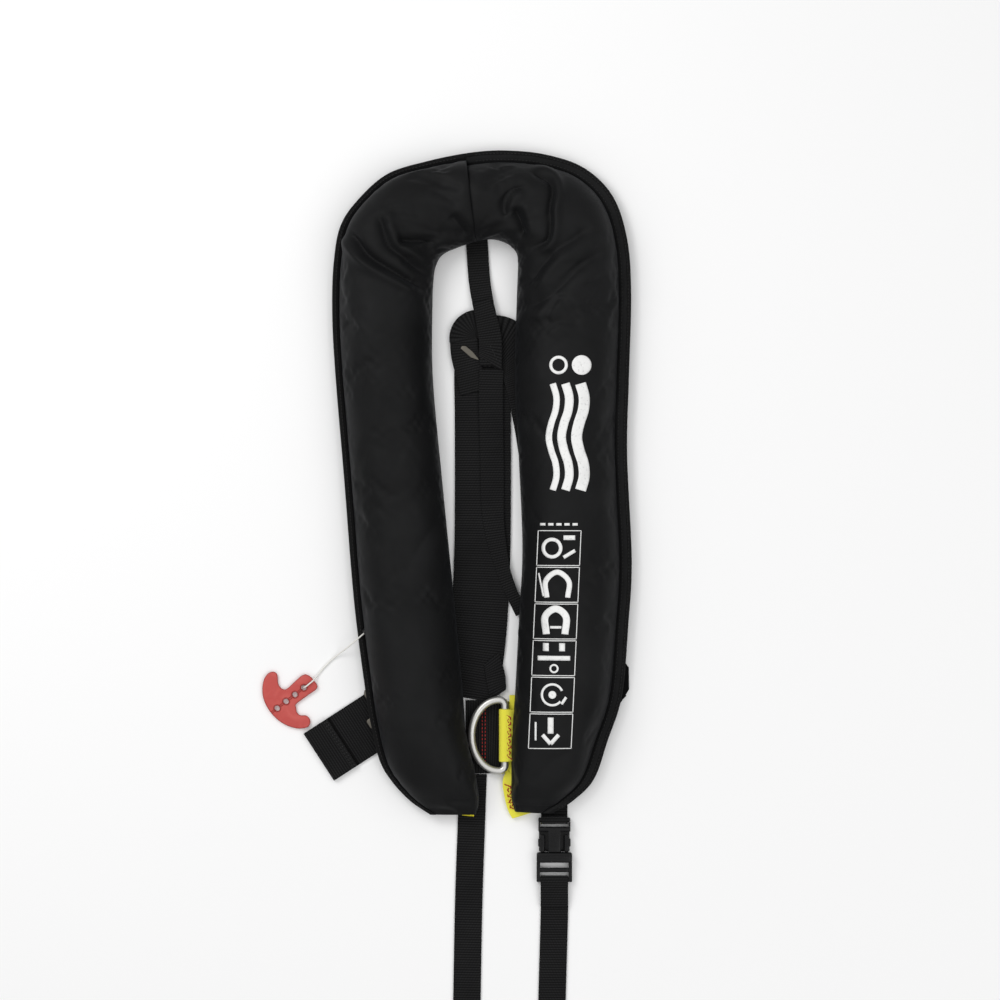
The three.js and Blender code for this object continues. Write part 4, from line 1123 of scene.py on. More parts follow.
@dataclass
class Panel:
    """The padded back panel: flat above, soft below where it drapes over the belts."""

    thickness: float = PANEL_TOP
    columns: int = 34
    step: float = 2.4
    puff: float = 0.9
    finish: Finish = LINING_NYLON
    name: str = "back_panel_cloth"

    def build(self) -> bpy.types.Object:
        """Makes the panel."""
        fractions = COURSE.evenly(0, 1, self.step)
        middle, outward, half, _ = COURSE.at(fractions)
        underneath = surface_of(bpy.data.objects["back_panel"])
        share = np.linspace(1, -1, self.columns + 1)
        inset = np.maximum(half - 0.15, 1)
        flat = middle[:, None] + outward[:, None] * (inset[:, None] * share)[..., None]
        low = np.zeros(flat.shape[:2])
        reach = ((0, 0), (2.2, 0), (-2.2, 0), (0, 2.2), (0, -2.2))
        for r in range(flat.shape[0]):
            for c in range(flat.shape[1]):
                for dx, dy in reach:
                    x, y = flat[r, c] * 0.999 + (dx, dy)
                    hit = underneath.ray_cast(Vector((x * MM, y * MM, -0.02)), Vector((0, 0, 1)))[0]
                    if hit is not None and hit.z < 0.0065:
                        low[r, c] = max(low[r, c], hit.z / MM)
        for _ in range(3):
            soft = low.copy()
            soft[1:-1, 1:-1] = (low[:-2, 1:-1] + low[2:, 1:-1] + low[1:-1, :-2] + low[1:-1, 2:]
                                + 2 * low[1:-1, 1:-1]) / 6
            low = np.maximum(low, soft)
        rim = 2.4 * np.clip((np.abs(share) - 0.93) / 0.07, 0, 1) ** 2
        shape = ripples(np.concatenate([flat, low[..., None]], 2), (14, 34), 11) * 0.5 + 0.5
        bottom = np.maximum(low + 0.15 + self.puff * np.clip(shape, 0, 1) * (1 - low / self.thickness), rim)
        under = np.concatenate([flat, np.minimum(bottom, self.thickness - 1)[..., None]], 2)
        top_flat = middle[:, None] + outward[:, None] * (inset[:, None] * np.linspace(-1, 1, 9))[..., None]
        above = np.concatenate([top_flat, np.full((*top_flat.shape[:2], 1), self.thickness - 0.1)], 2)
        rings = np.concatenate([under, above], axis=1)
        thing = make_mesh(self.name, rings.reshape(-1, 3) * MM, tube_faces(*rings.shape[:2]))
        dress(facing_out(thing), self.finish)
        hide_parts("back_panel")
        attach(thing, "jacket")
        LOG.info("%s: %d faces", thing.name, len(thing.data.polygons))
        return thing


@dataclass
class Bladder:
    """The folded inflatable bladder inside the cover, in three pleats."""

    pleats: int = 3
    step: float = 4.0
    name: str = "folded_bladder"
    lever: tuple[float, float] = (-64.85, -369.13)
    lever_room: float = 27.0
    lever_top: float = 19.0

    def section(self, half: Array, height: Array) -> Array:
        """A stack of soft pleats inside the cover's section."""
        turn = np.linspace(0, 2 * math.pi, 73)[:-1]
        wall = half - np.minimum(12, half / 2) - 10
        inner = -half + 12
        base, top = 8.2, height * 0.72
        across = np.sign(np.cos(turn)) * np.abs(np.cos(turn)) ** 0.8
        up = np.sin(turn) * 0.5 + 0.5
        pinch = 1 - 0.10 * (0.5 - 0.5 * np.cos(up * 2 * math.pi * self.pleats)) ** 0.5 * np.abs(across)
        shape = np.empty((len(half), len(turn), 2))
        fit = 1 - 0.30 * up**2
        shape[:, :, 0] = ((wall + inner) / 2)[:, None] + ((wall - inner) / 2)[:, None] * across * pinch * fit
        shape[:, :, 1] = base + (top[:, None] - base) * up
        return shape

    def build(self) -> bpy.types.Object:
        """Makes the bladder."""
        fractions = COURSE.evenly(0.004, 0.996, self.step)
        rings = COURSE.rings(fractions, self.section)
        rings[:, :, 2] += 0.25 * ripples(rings, (8, 20), 21)
        reach = np.hypot(rings[:, :, 0] - self.lever[0], rings[:, :, 1] - self.lever[1])
        room = smoothstep(self.lever_room * 1.8, self.lever_room, reach)
        rings[:, :, 2] += room * np.maximum(0, self.lever_top - rings[:, :, 2])
        thing = make_mesh(self.name, rings.reshape(-1, 3) * MM, tube_faces(*rings.shape[:2]))
        dress(facing_out(thing), YELLOW_NYLON)
        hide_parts("bladder")
        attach(thing, "jacket")
        return thing


@dataclass
class Binding:
    """The woven tape that wraps the outer edge of cover and panel."""

    side: Side
    start: float
    end: float
    lap: float
    step: float = 1.2

    def build(self) -> bpy.types.Object:
        """Makes one side's binding."""
        fractions = COURSE.evenly(self.start, self.end, self.step)
        middle, outward, half, _ = COURSE.at(fractions)
        lap = np.minimum(self.lap, half * 0.3)
        top = FLANGE_TOP + 1.0
        profile = [(-lap, top - 0.55), (-lap + 0.5, top), (-0.2, top + 0.05), (0.9, top - 0.4), (1.45, top - 1.4),
                   (1.5, 9), (1.5, 6.2), (1.0, 5.2), (0.35, 5.0), (0.32, 6), (0.33, 10.5), (0.1, top - 1.0),
                   (-lap * 0.5, top - 0.75)]
        rings = np.stack([np.concatenate([
            middle + outward * (half + reach)[:, None],
            np.full((len(half), 1), up)], 1) for reach, up in profile], axis=1)
        run = length_of(middle)
        rings[:, :5, 2] += 0.07 * np.sin(run * 2 * math.pi / 2.4)[:, None]
        shape = np.array([(0.0 if not isinstance(r, np.ndarray) else r.mean(), u) for r, u in profile])
        round_it = length_of(shape)
        uvs = np.stack([np.broadcast_to(round_it, (len(run), len(profile))),
                        np.broadcast_to(run[:, None], (len(run), len(profile)))], 2)
        name = f"binding_tape_{self.side.name.lower()}"
        thing = make_mesh(name, rings.reshape(-1, 3) * MM, tube_faces(*rings.shape[:2]), uvs.reshape(-1, 2) * MM)
        dress(facing_out(thing), BINDING_TAPE)
        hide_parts(f"edge_binding_{self.side.name.lower()}")
        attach(thing, "jacket")
        return thing


# ---------------------------------------------------------------- webbing

@dataclass
class Strap:
    """A strap of ribbed webbing along places on its underside.

    Fields: its name, the CAD nodes it stands for, its places and widths in millimetres, its
    thickness, its finish, a material slot that is not used, and the direction of its width
    where it wraps over bars.
    """

    name: str
    nodes: tuple[str, ...]
    places: Sequence[Point]
    widths: Sequence[float]
    thickness: float = 2.0
    finish: Finish = BLACK_WEBBING
    slot: str = "webbing"
    side: tuple[float, float, float] | None = None
    body: str = "jacket"
    rib: float = 2.6
    rib_depth: float = 0.2
    tilt: tuple[float, ...] = (0.0,)
    step: float = 0.55
    trim: float = 0.06
    slants: tuple[float, float] = (0.0, 0.0)
    line: Array = field(init=False, default=None)

    def shape(self, width: float, thick: float, rib: float, tilt: float) -> Array:
        """The section at one place: thin selvages, with the ribs standing up on both faces."""
        half = width / 2
        across = np.array([-1, -0.985, -0.93, -0.86, -0.5, 0, 0.5, 0.86, 0.93, 0.985, 1.0]) * half
        crown = np.array([0.45, 0.22, 0.0, 0.10, 0, 0, 0, 0.10, 0.0, 0.22, 0.45]) * 0.5
        groove = self.rib_depth * rib * np.array([0.2, 0.6, 1, 1, 1, 1, 1, 1, 1, 0.6, 0.2])
        top = thick - self.trim - crown - groove
        low = self.trim + crown + groove
        lean = across * math.tan(tilt) if tilt else 0 * across
        return np.concatenate([np.stack([across, top + lean], 1), np.stack([across, low + lean], 1)[::-1]])

    def mesh(self) -> bpy.types.Object:
        """The strap's closed mesh, with its map across and along."""
        self.line = even_line(self.places, self.step)
        run = length_of(self.line)
        share = run / run[-1]
        widths = catmull(np.array(self.widths, float)[:, None] if len(self.widths) > 1 else
                         np.array([[self.widths[0]]] * 2, float), share)[:, 0]
        tilts = np.interp(share, np.linspace(0, 1, len(self.tilt)), self.tilt) if len(self.tilt) > 1 else 0 * share
        ribs = 0.5 + 0.5 * np.cos(run * 2 * math.pi / self.rib)
        tangent = unit(np.vstack([self.line[1:], self.line[-1:]]) - np.vstack([self.line[:1], self.line[:-1]]))
        if self.side is None:
            flat = tangent * (1, 1, 0)
            across = unit(np.stack([-flat[:, 1], flat[:, 0], 0 * run], 1))
            up = np.broadcast_to([0.0, 0, 1], across.shape)
        else:
            across = np.broadcast_to(np.array(self.side, float), tangent.shape)
            up = unit(np.cross(across, tangent))
        points, uvs = [], []
        for i in range(len(run)):
            end = min(run[i], run[-1] - run[i])
            thick = self.thickness - (0.25 if end < 0.3 else 0)
            shape = self.shape(widths[i], thick, ribs[i], tilts[i])
            skew = self.slants[0] * max(0, 1 - run[i] / 18) + self.slants[1] * max(0, 1 - (run[-1] - run[i]) / 18)
            points.append(self.line[i] + across[i] * shape[:, :1] + up[i] * shape[:, 1:]
                          + tangent[i] * skew * shape[:, :1])
            uvs.append(np.stack([shape[:, 0], np.full(len(shape), run[i])], 1))
        around = len(points[0])
        places = np.vstack(points)
        places[:, 2] = np.maximum(places[:, 2], 0)
        thing = make_mesh(self.name, places * MM, tube_faces(len(run), around), np.vstack(uvs) * MM)
        return facing_out(thing)

    def build(self) -> bpy.types.Object:
        """Makes, dresses and fastens the strap."""
        thing = dress(self.mesh(), self.finish)
        if self.nodes:
            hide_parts(*self.nodes)
        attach(thing, self.body)
        LOG.info("%s: %d faces", thing.name, len(thing.data.polygons))
        return thing


def stitched(name: str, lines: Sequence[Sequence[Point]], finish: Finish, rows: Rows, body: str = "jacket",
             up: Point = (0, 0, 1)) -> bpy.types.Object:
    """Rows of stitches on flat places, given in millimetres, riding on a body."""
    made = [np.asarray(line, float) * MM for line in lines]
    thing = rows.along(name, made, [np.broadcast_to(np.array(up, float), line.shape) for line in made], finish)
    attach(thing, body)
    return thing


def zigzag(start: Point, end: Point, width: float, pitch: float) -> list[Point]:
    """The corners of a zigzag between two places."""
    start, end = np.asarray(start, float), np.asarray(end, float)
    way = unit(end - start)
    across = np.array([-way[1], way[0], 0])
    count = max(2, round(np.linalg.norm(end - start) / pitch))
    return [tuple(start + (end - start) * i / count + across * width / 2 * (1 if i % 2 else -1))
            for i in range(count + 1)]


@dataclass
class Harness:
    """The back strap, the belt and their loops, folds and tails, as they lie under the jacket."""

    thread: Finish = BLACK_THREAD

    def build(self) -> None:
        """Makes every strap of the harness."""
        Strap("back_strap_webbing", ("back_strap",), [
            (-4, -16, 0), (-2.5, -40, 0.3), (-0.5, -70, 1.5), (3, -92, 4.9), (6, -105, 5.4), (9, -125, 5.4),
            (9.5, -145, 5.4)], (19, 19, 18.5, 19), 1.6).build()
        Strap("strap_tail_webbing", ("strap_tail",), [
            (10, -148.5, 4.6), (9.6, -175, 3.2), (10.5, -225, 2.3), (11.8, -280, 2.3), (19, -319, 2.8),
            (26.7, -341, 3.4), (36, -362, 3.4)], (21, 21, 20.5, 20, 17, 12, 10), 1.5,
            tilt=(0, 0, 0, 0.03, 0.12, 0.28, 0.3)).build()
        Strap("belt_left_webbing", ("waist_belt_left",), [
            (4, -118, 0), (2, -150, 0), (2.5, -200, 0), (2, -310, 0), (-2, -385, 0), (-10, -436, 0)], (49,)).build()
        Strap("belt_right_webbing", ("waist_belt_right",), [
            (3, -124, 2.3), (20, -125, 2.3), (40, -146, 2.3), (52, -190, 2.3), (63, -250, 2.3), (80, -335, 2.3),
            (91, -395, 2.3)], (44, 46, 49, 49, 49), 1.8).build()
        Strap("ring_webbing_band", ("ring_webbing",), [
            (-12.5, -469.5, 0), (8, -469.5, 0), (40, -469, 0), (74, -456, 0), (110, -417, 0)],
              (64, 63, 50, 49, 49)).build()
        rim = np.array([(118, -393), (130.2, -409), (130.4, -428), (123, -440), (112, -436), (110, -400)])
        loop = dress(plate_body("belt_loop_edge", [rim[::-1]], 0.05, 2.2, 0.5), BLACK_WEBBING)
        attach(loop, "jacket")
        Strap("belt_tail_webbing", ("belt_tail",), [(-141, -487.5, 0), (-43, -424, 0)], (49,)).build()
        self.tail_hem()
        self.belt_loop()
        self.stitching()

    def tail_hem(self) -> None:
        """The belt's end, folded over on itself and sewn down, with a near-black strip at the hem's end that is painted
        shadow of its step.
        """
        start, way = np.array([-141.0, -487.5]), unit(np.array([98.0, 63.5]))
        places = [(*(start + way * far), up) for far, up in ((0.4, 2.1), (6, 2.1), (16, 2.1), (24.5, 2.4))]
        Strap("belt_tail_hem", (), places, (48.6,), 2.3).build()
        # A thin near-black strip just past the hem's end: painted shadow of the hem's step.
        places = [(*(start + way * far), 2.05) for far in (24.3, 25.6, 26.9)]
        Strap("belt_tail_hem_edge", (), places, (48.2,), 0.6, PAINTED_SHADOW_WEBBING, step=0.3).build()

    def belt_loop(self) -> None:
        """The belt's turn round the back strap, the strap's folded end and the steel slider under it."""
        turn = np.radians(np.linspace(196, 78, 12))
        arc = [(-5, -168, 2.2), (-9.6, -150, 2.3), (-13, -136, 2.4)]
        arc += [(-2 + 12.6 * math.cos(t), -121 + 12.6 * math.sin(t), 2.4) for t in turn]
        Strap("belt_turn_webbing", (), arc, (24.4,), 1.7, rib=1.15, step=0.28).build()
        Strap("strap_fold_webbing", (), [(1, -89, 7.05), (5.5, -104, 7.1), (8.8, -122, 7.1), (9, -143, 6.6)],
              (16, 19, 20, 20), 1.3, tilt=(0.0, 0.02, 0.04), slants=(0.0, 0.62)).build()
        Strap("belt_end_fold", (), [(10, -401, 2.1), (13.5, -416, 2.1), (16, -433, 2.1)], (15, 17, 15), 1.4,
              slants=(-0.5, -0.5)).build()
        plate = np.array([(-17, -130), (-15.5, -127.8), (-12.5, -127.9), (-6.5, -132.8), (-1.5, -138.8), (-1.2, -140.2),
                          (-8, -138)])
        slider = dress(plate_body("strap_slider_steel", [plate], 4.2, 5.1, 0.3), BRASS)
        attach(slider, "jacket")

    def stitching(self) -> None:
        """Rows of thread on the folds and tails."""
        way = unit(np.array([98.0, 63.5, 0]))
        side = np.array([-way[1], way[0], 0])
        base = np.array([-141, -487.5, 4.5])
        lines = [[base + way * far + side * s for s in np.linspace(-22, 22, 12)] for far in (20.5, 22.6)]
        lines.append([(12 + 0.4 * t, -134 - 0.9 * t, 8.4) for t in (-6, -2, 2, 6)])
        stitched("harness_stitches", lines, self.thread, Rows(0.0030, (0.0023, 0.0006, 0.0005)))
        red = [[(2, y, 2.05) for y in np.linspace(-446, -494, 14)]]
        red.append([(4.6, y, 2.05) for y in np.linspace(-446, -494, 14)])
        stitched("ring_band_stitches", red, RED_THREAD, Rows(0.0030, (0.0022, 0.0008, 0.0006)))


@dataclass
class Becket:
    """The yellow webbing that carries the ring: a sleeve round its bar and a tail to the lobe's end."""

    places: tuple[Point, ...] = ((35.5, -433, 3.4), (35.5, -450, 3.4), (35.5, -470, 3.4), (35.5, -502, 3.4),
                                 (33, -509, 3.4), (33, -516, 3.2), (34, -530, 2.8), (36.5, -538.5, 2.3))
    widths: tuple[float, ...] = (19.6, 19.6, 19.6, 19.6, 26, 26.4, 23, 17)
    bar: tuple[float, float] = (21.8, 7.55)
    inner: float = 3.66
    outer: float = 5.24
    ends: tuple[float, float] = (-491, -445)

    def build(self) -> None:
        """Makes the becket and its stitching."""
        tail = Strap("becket_tail", (), self.places, self.widths, 1.6, YELLOW_WEBBING, "becket_webbing", rib=1.6,
                     rib_depth=0.08).mesh()
        turn = np.linspace(0, 2 * math.pi, 41)[:-1]
        rows, uvs = [], []
        lengths = np.arange(self.ends[0], self.ends[1] + 0.1, 0.5)
        for i, y in enumerate(lengths):
            edge = min(i, len(lengths) - 1 - i)
            outer = self.outer - (0.5 if edge == 0 else 0.12 if edge == 1 else 0) - 0.07 * (
                0.5 + 0.5 * math.cos(y * 2 * math.pi / 1.6))
            for radius in (outer, self.inner):
                rows.append(np.stack([self.bar[0] + radius * np.cos(turn), 0 * turn + y,
                                      self.bar[1] + radius * np.sin(turn)], 1))
                uvs.append(np.stack([turn * radius, 0 * turn + y], 1))
        count, around = len(lengths), len(turn)
        faces = []
        for i in range(count):
            for j in range(around):
                k = (j + 1) % around
                out, inn = 2 * i * around, (2 * i + 1) * around
                if i < count - 1:
                    faces.append([out + j, out + k, out + 2 * around + k, out + 2 * around + j])
                    faces.append([inn + k, inn + j, inn + 2 * around + j, inn + 2 * around + k])
                if i in (0, count - 1):
                    faces.append([out + j, out + k, inn + k, inn + j])
        sleeve = facing_out(make_mesh("becket_sleeve", np.vstack(rows) * MM, faces, np.vstack(uvs) * MM))
        flap = Strap("becket_flap", (), [(21.8, -468, 12.1), (25.5, -468, 11.4), (29, -468, 9.3), (33, -468, 6.0)],
                     (45,), 1.2, step=0.4, rib=1.6, rib_depth=0.05).mesh()
        for piece in (tail, sleeve, flap):
            dress(piece, YELLOW_WEBBING)
        thing = joined("becket_cloth", [tail, sleeve, flap])
        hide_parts("lifting_becket")
        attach(thing, "jacket")
        rows = Rows(0.0026, (0.0034, 0.0011, 0.0010))
        lines = [zigzag((25.2, -450, 12.5), (25.2, -488, 12.5), 3.8, 2.6),
                 zigzag((24.6, -511, 5.1), (28.4, -533, 4.6), 4.2, 2.6)]
        lines += [[(x, y, 4.0) for x in np.linspace(25, 44, 8)] for y in (-524, -527)]
        stitched("becket_stitches", lines, RED_THREAD, rows)


@dataclass
class CrotchStrap:
    """The crotch strap: a tab on the socket, a front leg on the plug and a back leg, joined below."""

    x: float = 65.0
    thickness: float = 1.4
    socket: float = -540.0
    plug_end: float = -596.3

    def build(self) -> None:
        """Makes the strap's pieces."""
        t = self.thickness
        low, top = 0.3, self.socket
        over = 5.0 + 0.3 + t
        turn = top - 4 - 0.3 - t
        Strap("crotch_tab_webbing", ("crotch_tab",), self.wrap([(-500, low), (turn + 4, low), (turn + 0.6, low + 0.3),
              (turn, low + 1.6), (turn, over - 1.6), (turn + 0.6, over - 0.3), (top - 2, over), (top + 1, over)]),
              (23,), t, side=(-1, 0, 0), step=0.4).build()
        end = self.plug_end
        over = 5.4 + 0.3 + t
        turn = end + 4 + 0.3 + t
        route = [(-757, low), (-700, low), (end - 30, low), (end - 8, low), (turn - 4, low), (turn - 0.6, low + 0.3),
                 (turn, low + 1.6), (turn, over - 1.6), (turn - 0.6, over - 0.3), (end - 0.6, over), (end - 3, over),
                 (end - 22, low + 2 * t + 0.6)]
        places = self.wrap(route)
        places[0] = (self.x - 3, places[0][1], places[0][2])
        places[1] = (self.x - 2, places[1][1], places[1][2])
        Strap("crotch_front_webbing", ("crotch_strap_front",), places, (24,), t, side=(1, 0, 0), body="plug",
              step=0.5).build()
        leg = Strap("crotch_back_leg", (), [(-6, -502, 0), (-7.5, -545, 0), (-10, -620, 0), (-12, -735, 0)], (24,),
                    1.6).mesh()
        run = Strap("crotch_back_run", (), [(-23, -757, 2.3), (40, -757, 2.3), (74, -757, 2.3)], (24,), 1.6).mesh()
        fold = box_body("crotch_fold", (-24, -769, 0.05), (0, -733, 3.85), 0.7)
        fold.data.uv_layers.new(name="weave")
        for piece in (leg, run, fold):
            dress(piece, BLACK_WEBBING)
        thing = joined("crotch_back_webbing", [leg, run, fold])
        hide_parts("crotch_strap_back")
        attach(thing, "jacket")
        box = [(-21, -766, 3.92), (-3, -766, 3.92), (-3, -748, 3.92), (-21, -748, 3.92), (-21, -766, 3.92), (-3, -748, 3.92)]
        stitched("crotch_stitches", [box, [(54, y, 1.72) for y in np.linspace(-521, -509, 4)]], BLACK_THREAD,
                 Rows(0.0028, (0.0021, 0.0006, 0.0005)))

    def wrap(self, route: Sequence[tuple[float, float]]) -> list[Point]:
        """Places on the strap's centre from [y, z] pairs."""
        return [(self.x, y, z) for y, z in route]


# ---------------------------------------------------------------- pull cord and handle

@dataclass
class PullCord:
    """The white braided cord from the inflator's lever to the handle."""

    diameter: float = 1.4
    route: tuple[Point, ...] = (
        (-70, -352.2, 14), (-88, -367.6, 14), (-102, -379.6, 14), (-108, -384.7, 13.3), (-113.5, -389.3, 11),
        (-118, -393, 7), (-122.5, -396.5, 3), (-128, -400.8, 1.1), (-134, -406.5, 0.9), (-139, -412, 0.9),
        (-143, -417, 1.6), (-146.2, -420.6, 4.2), (-149, -423, 5.2), (-151.8, -425.2, 4.9), (-153.6, -426.4, 3.4),
        (-154, -426.7, 1.6))
    sides: int = 12

    def build(self, handle: bpy.types.Object) -> bpy.types.Object:
        """Makes the cord with its handle on its far end."""
        line = even_line(self.route, 0.5)
        thing = sweep("pull_cord_braid", line, lambda i, run: circle(self.diameter / 2 - (0.06 if i % 2 else 0),
                                                                     self.sides))
        dress(thing, WHITE_CORD)
        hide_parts("pull_cord")
        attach(thing, "pull_toggle")
        LOG.info("%s: %.1f mm long", thing.name, length_of(line)[-1])
        return thing


@dataclass
class Handle:
    """The anchor-shaped pull handle: a stem with four holes and a groove, and a curved bow, with the groove, the eyes'
    rims and the outer rim drawn as darker red ridges of painted shade.
    """

    rim: tuple[tuple[float, float], ...] = (
        (-152.7, -415.2), (-148.8, -416.9), (-145.2, -420.9), (-142.6, -424.8), (-143.9, -428.1), (-152.2, -434.0),
        (-160.8, -440.6), (-161.2, -444.1), (-160.3, -448.4), (-157.1, -451.1), (-152.2, -451.3), (-149.4, -453.7),
        (-148.8, -457.2), (-150.5, -460.5), (-154.4, -461.8), (-160.1, -461.8), (-168.4, -459.4), (-177.2, -453.9),
        (-184.6, -445.4), (-189.0, -435.8), (-189.9, -426.6), (-188.3, -419.1), (-185.1, -414.5), (-181.1, -413.0),
        (-178.1, -414.3), (-177.2, -417.8), (-177.0, -422.2), (-175.2, -426.1), (-172.2, -428.3), (-168.4, -427.7),
        (-161.9, -421.8), (-156.4, -416.9))
    middle: tuple[float, float] = (-165.7, -435.6)
    turn: float = math.atan2(0.61, 0.79)
    thickness: float = 3.5
    holes: tuple[float, ...] = (14.7, 4.9, -4.9, -14.7)
    hole: float = 2.35

    def placed(self, flat: Array) -> Array:
        """Places along and across the stem, turned and moved to where the handle lies."""
        c, s = math.cos(self.turn), math.sin(self.turn)
        return np.asarray(flat, float) @ np.array([[c, s], [-s, c]]) + self.middle

    def ridge(self, flat: Array, radius: float, closed: bool = False) -> bpy.types.Object:
        """A low round ridge on the upper face along places on the stem, which build dresses in darker red as painted
        shade.
        """
        line = np.column_stack([self.placed(flat), np.full(len(flat), self.thickness - 0.45)])
        return sweep("handle_ridge", line, lambda i, run: circle(radius, 10), closed=closed)

    def build(self) -> bpy.types.Object:
        """Makes the handle with its eyes, and its groove and rims as darker red ridges of painted shade."""
        rims = [even_line(self.rim + self.rim[:1], 0.8)[:-1]]
        rims += [self.placed(circle(self.hole, 20) + (x, 0)) for x in self.holes]
        shapes = [plate_body("handle_plate", rims, 0.05, self.thickness - 0.4, 0.8)]
        for side in (-1, 1):
            for start, end in ((17.4, 22), (7.6, 12), (-2.2, 2.2), (-12, -7.6), (-21, -17.4)):
                shapes.append(self.ridge(np.array([[x, side * 0.7] for x in np.linspace(start, end, 5)]), 0.46))
        shapes += [self.ridge(circle(self.hole + 0.6, 28) + (x, 0), 0.55, closed=True) for x in self.holes]
        # A thin darker red ring along the outer rim: painted shade on the handle's edge.
        edge = np.column_stack([rims[0], np.full(len(rims[0]), self.thickness - 1.2)])
        shapes.append(sweep("handle_edge", edge, lambda i, run: circle(0.4, 8), closed=True))
        # Every piece but the plate gets the darker red, which is painted shade.
        for shape in shapes:
            dress(shape, RED_PLASTIC if shape is shapes[0] else PAINTED_SHADE_RED)
        thing = joined("pull_handle_moulding", shapes)
        shade_by_angle(thing)
        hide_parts("pull_handle")
        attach(thing, "pull_toggle")
        return thing


# ---------------------------------------------------------------- hardware

@dataclass
class Ring:
    """The stainless D-ring, bent from round wire and welded at its bar."""

    bar: tuple[float, float] = (21.8, -468)
    height: float = 7.55
    wire: float = 6.5
    radius: float = 31.0
    corner: float = 5.0
    depth: float = 24.0
    sides: int = 28

    def build(self) -> bpy.types.Object:
        """Makes the ring."""
        bow_x, straight = self.bar[0] - self.corner, self.radius - self.corner
        places = []
        for y, start in ((self.bar[1] + straight, 0.0), (self.bar[1] - straight, -math.pi / 2)):
            turn = start + np.linspace(0, math.pi / 2, 13)
            bend = np.stack([bow_x + self.corner * np.cos(turn), y + self.corner * np.sin(turn)], 1)
            places.append(bend)
        turn = math.pi / 2 + math.pi * np.arange(1, 60) / 60
        bow = np.stack([bow_x + self.depth * np.cos(turn), self.bar[1] + self.radius * np.sin(turn)], 1)
        bar = np.stack([np.full(9, self.bar[0]), np.linspace(self.bar[1] - straight, self.bar[1] + straight, 11)[1:-1]], 1)
        loop = np.vstack([places[0], bow, places[1], bar])
        line = np.column_stack([loop, np.full(len(loop), self.height)])

        def section(i: int, run: float) -> Array:
            """Round wire, slightly swollen at the weld."""
            swell = 0.16 * math.exp(-((line[i][1] - self.bar[1]) / 1.4) ** 2) if abs(line[i][0] - self.bar[0]) < 0.2 else 0
            return circle(self.wire / 2 + swell, self.sides)

        thing = dress(sweep("ring_wire", line, section, closed=True), STAINLESS)
        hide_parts("dee_ring")
        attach(thing, "tether_ring")
        return thing


@dataclass
class BeltHook:
    """The flat steel hook of the belt, with two slots and a tongue."""

    place: tuple[float, float] = (-76.4, -445.7)
    turn: float = 0.575
    low: float = 2.3
    high: float = 4.5

    def build(self) -> bpy.types.Object:
        """Makes the hook."""
        c, s = math.cos(self.turn), math.sin(self.turn)
        spin = np.array([[c, s], [-s, c]])

        def rounded(x0: float, y0: float, x1: float, y1: float, r: float) -> Array:
            """A rectangle with round corners, turned to where it lies."""
            corners = [((x1 - r, y1 - r), 0), ((x0 + r, y1 - r), 1), ((x0 + r, y0 + r), 2), ((x1 - r, y0 + r), 3)]
            places = [(cx + r * math.cos(k * math.pi / 2 + a), cy + r * math.sin(k * math.pi / 2 + a))
                      for (cx, cy), k in corners for a in np.linspace(0, math.pi / 2, 7)]
            return np.array(places) @ spin + self.place

        rims = [rounded(-14, -31, 14, 28, 5), rounded(-10.5, -26, -3.5, 24, 2), rounded(3.5, -26, 10.5, 24, 2)]
        plate = plate_body("hook_plate", rims, self.low, self.high, 0.5)
        tongue = plate_body("hook_tongue", [rounded(-25, -4.5, -13.2, 4.5, 2.0)], self.low, self.high, 0.5)
        thing = joined("belt_hook_steel", [dress(plate, BRASS), dress(tongue, BRASS)])
        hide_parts("belt_hook")
        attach(thing, "jacket")
        return thing


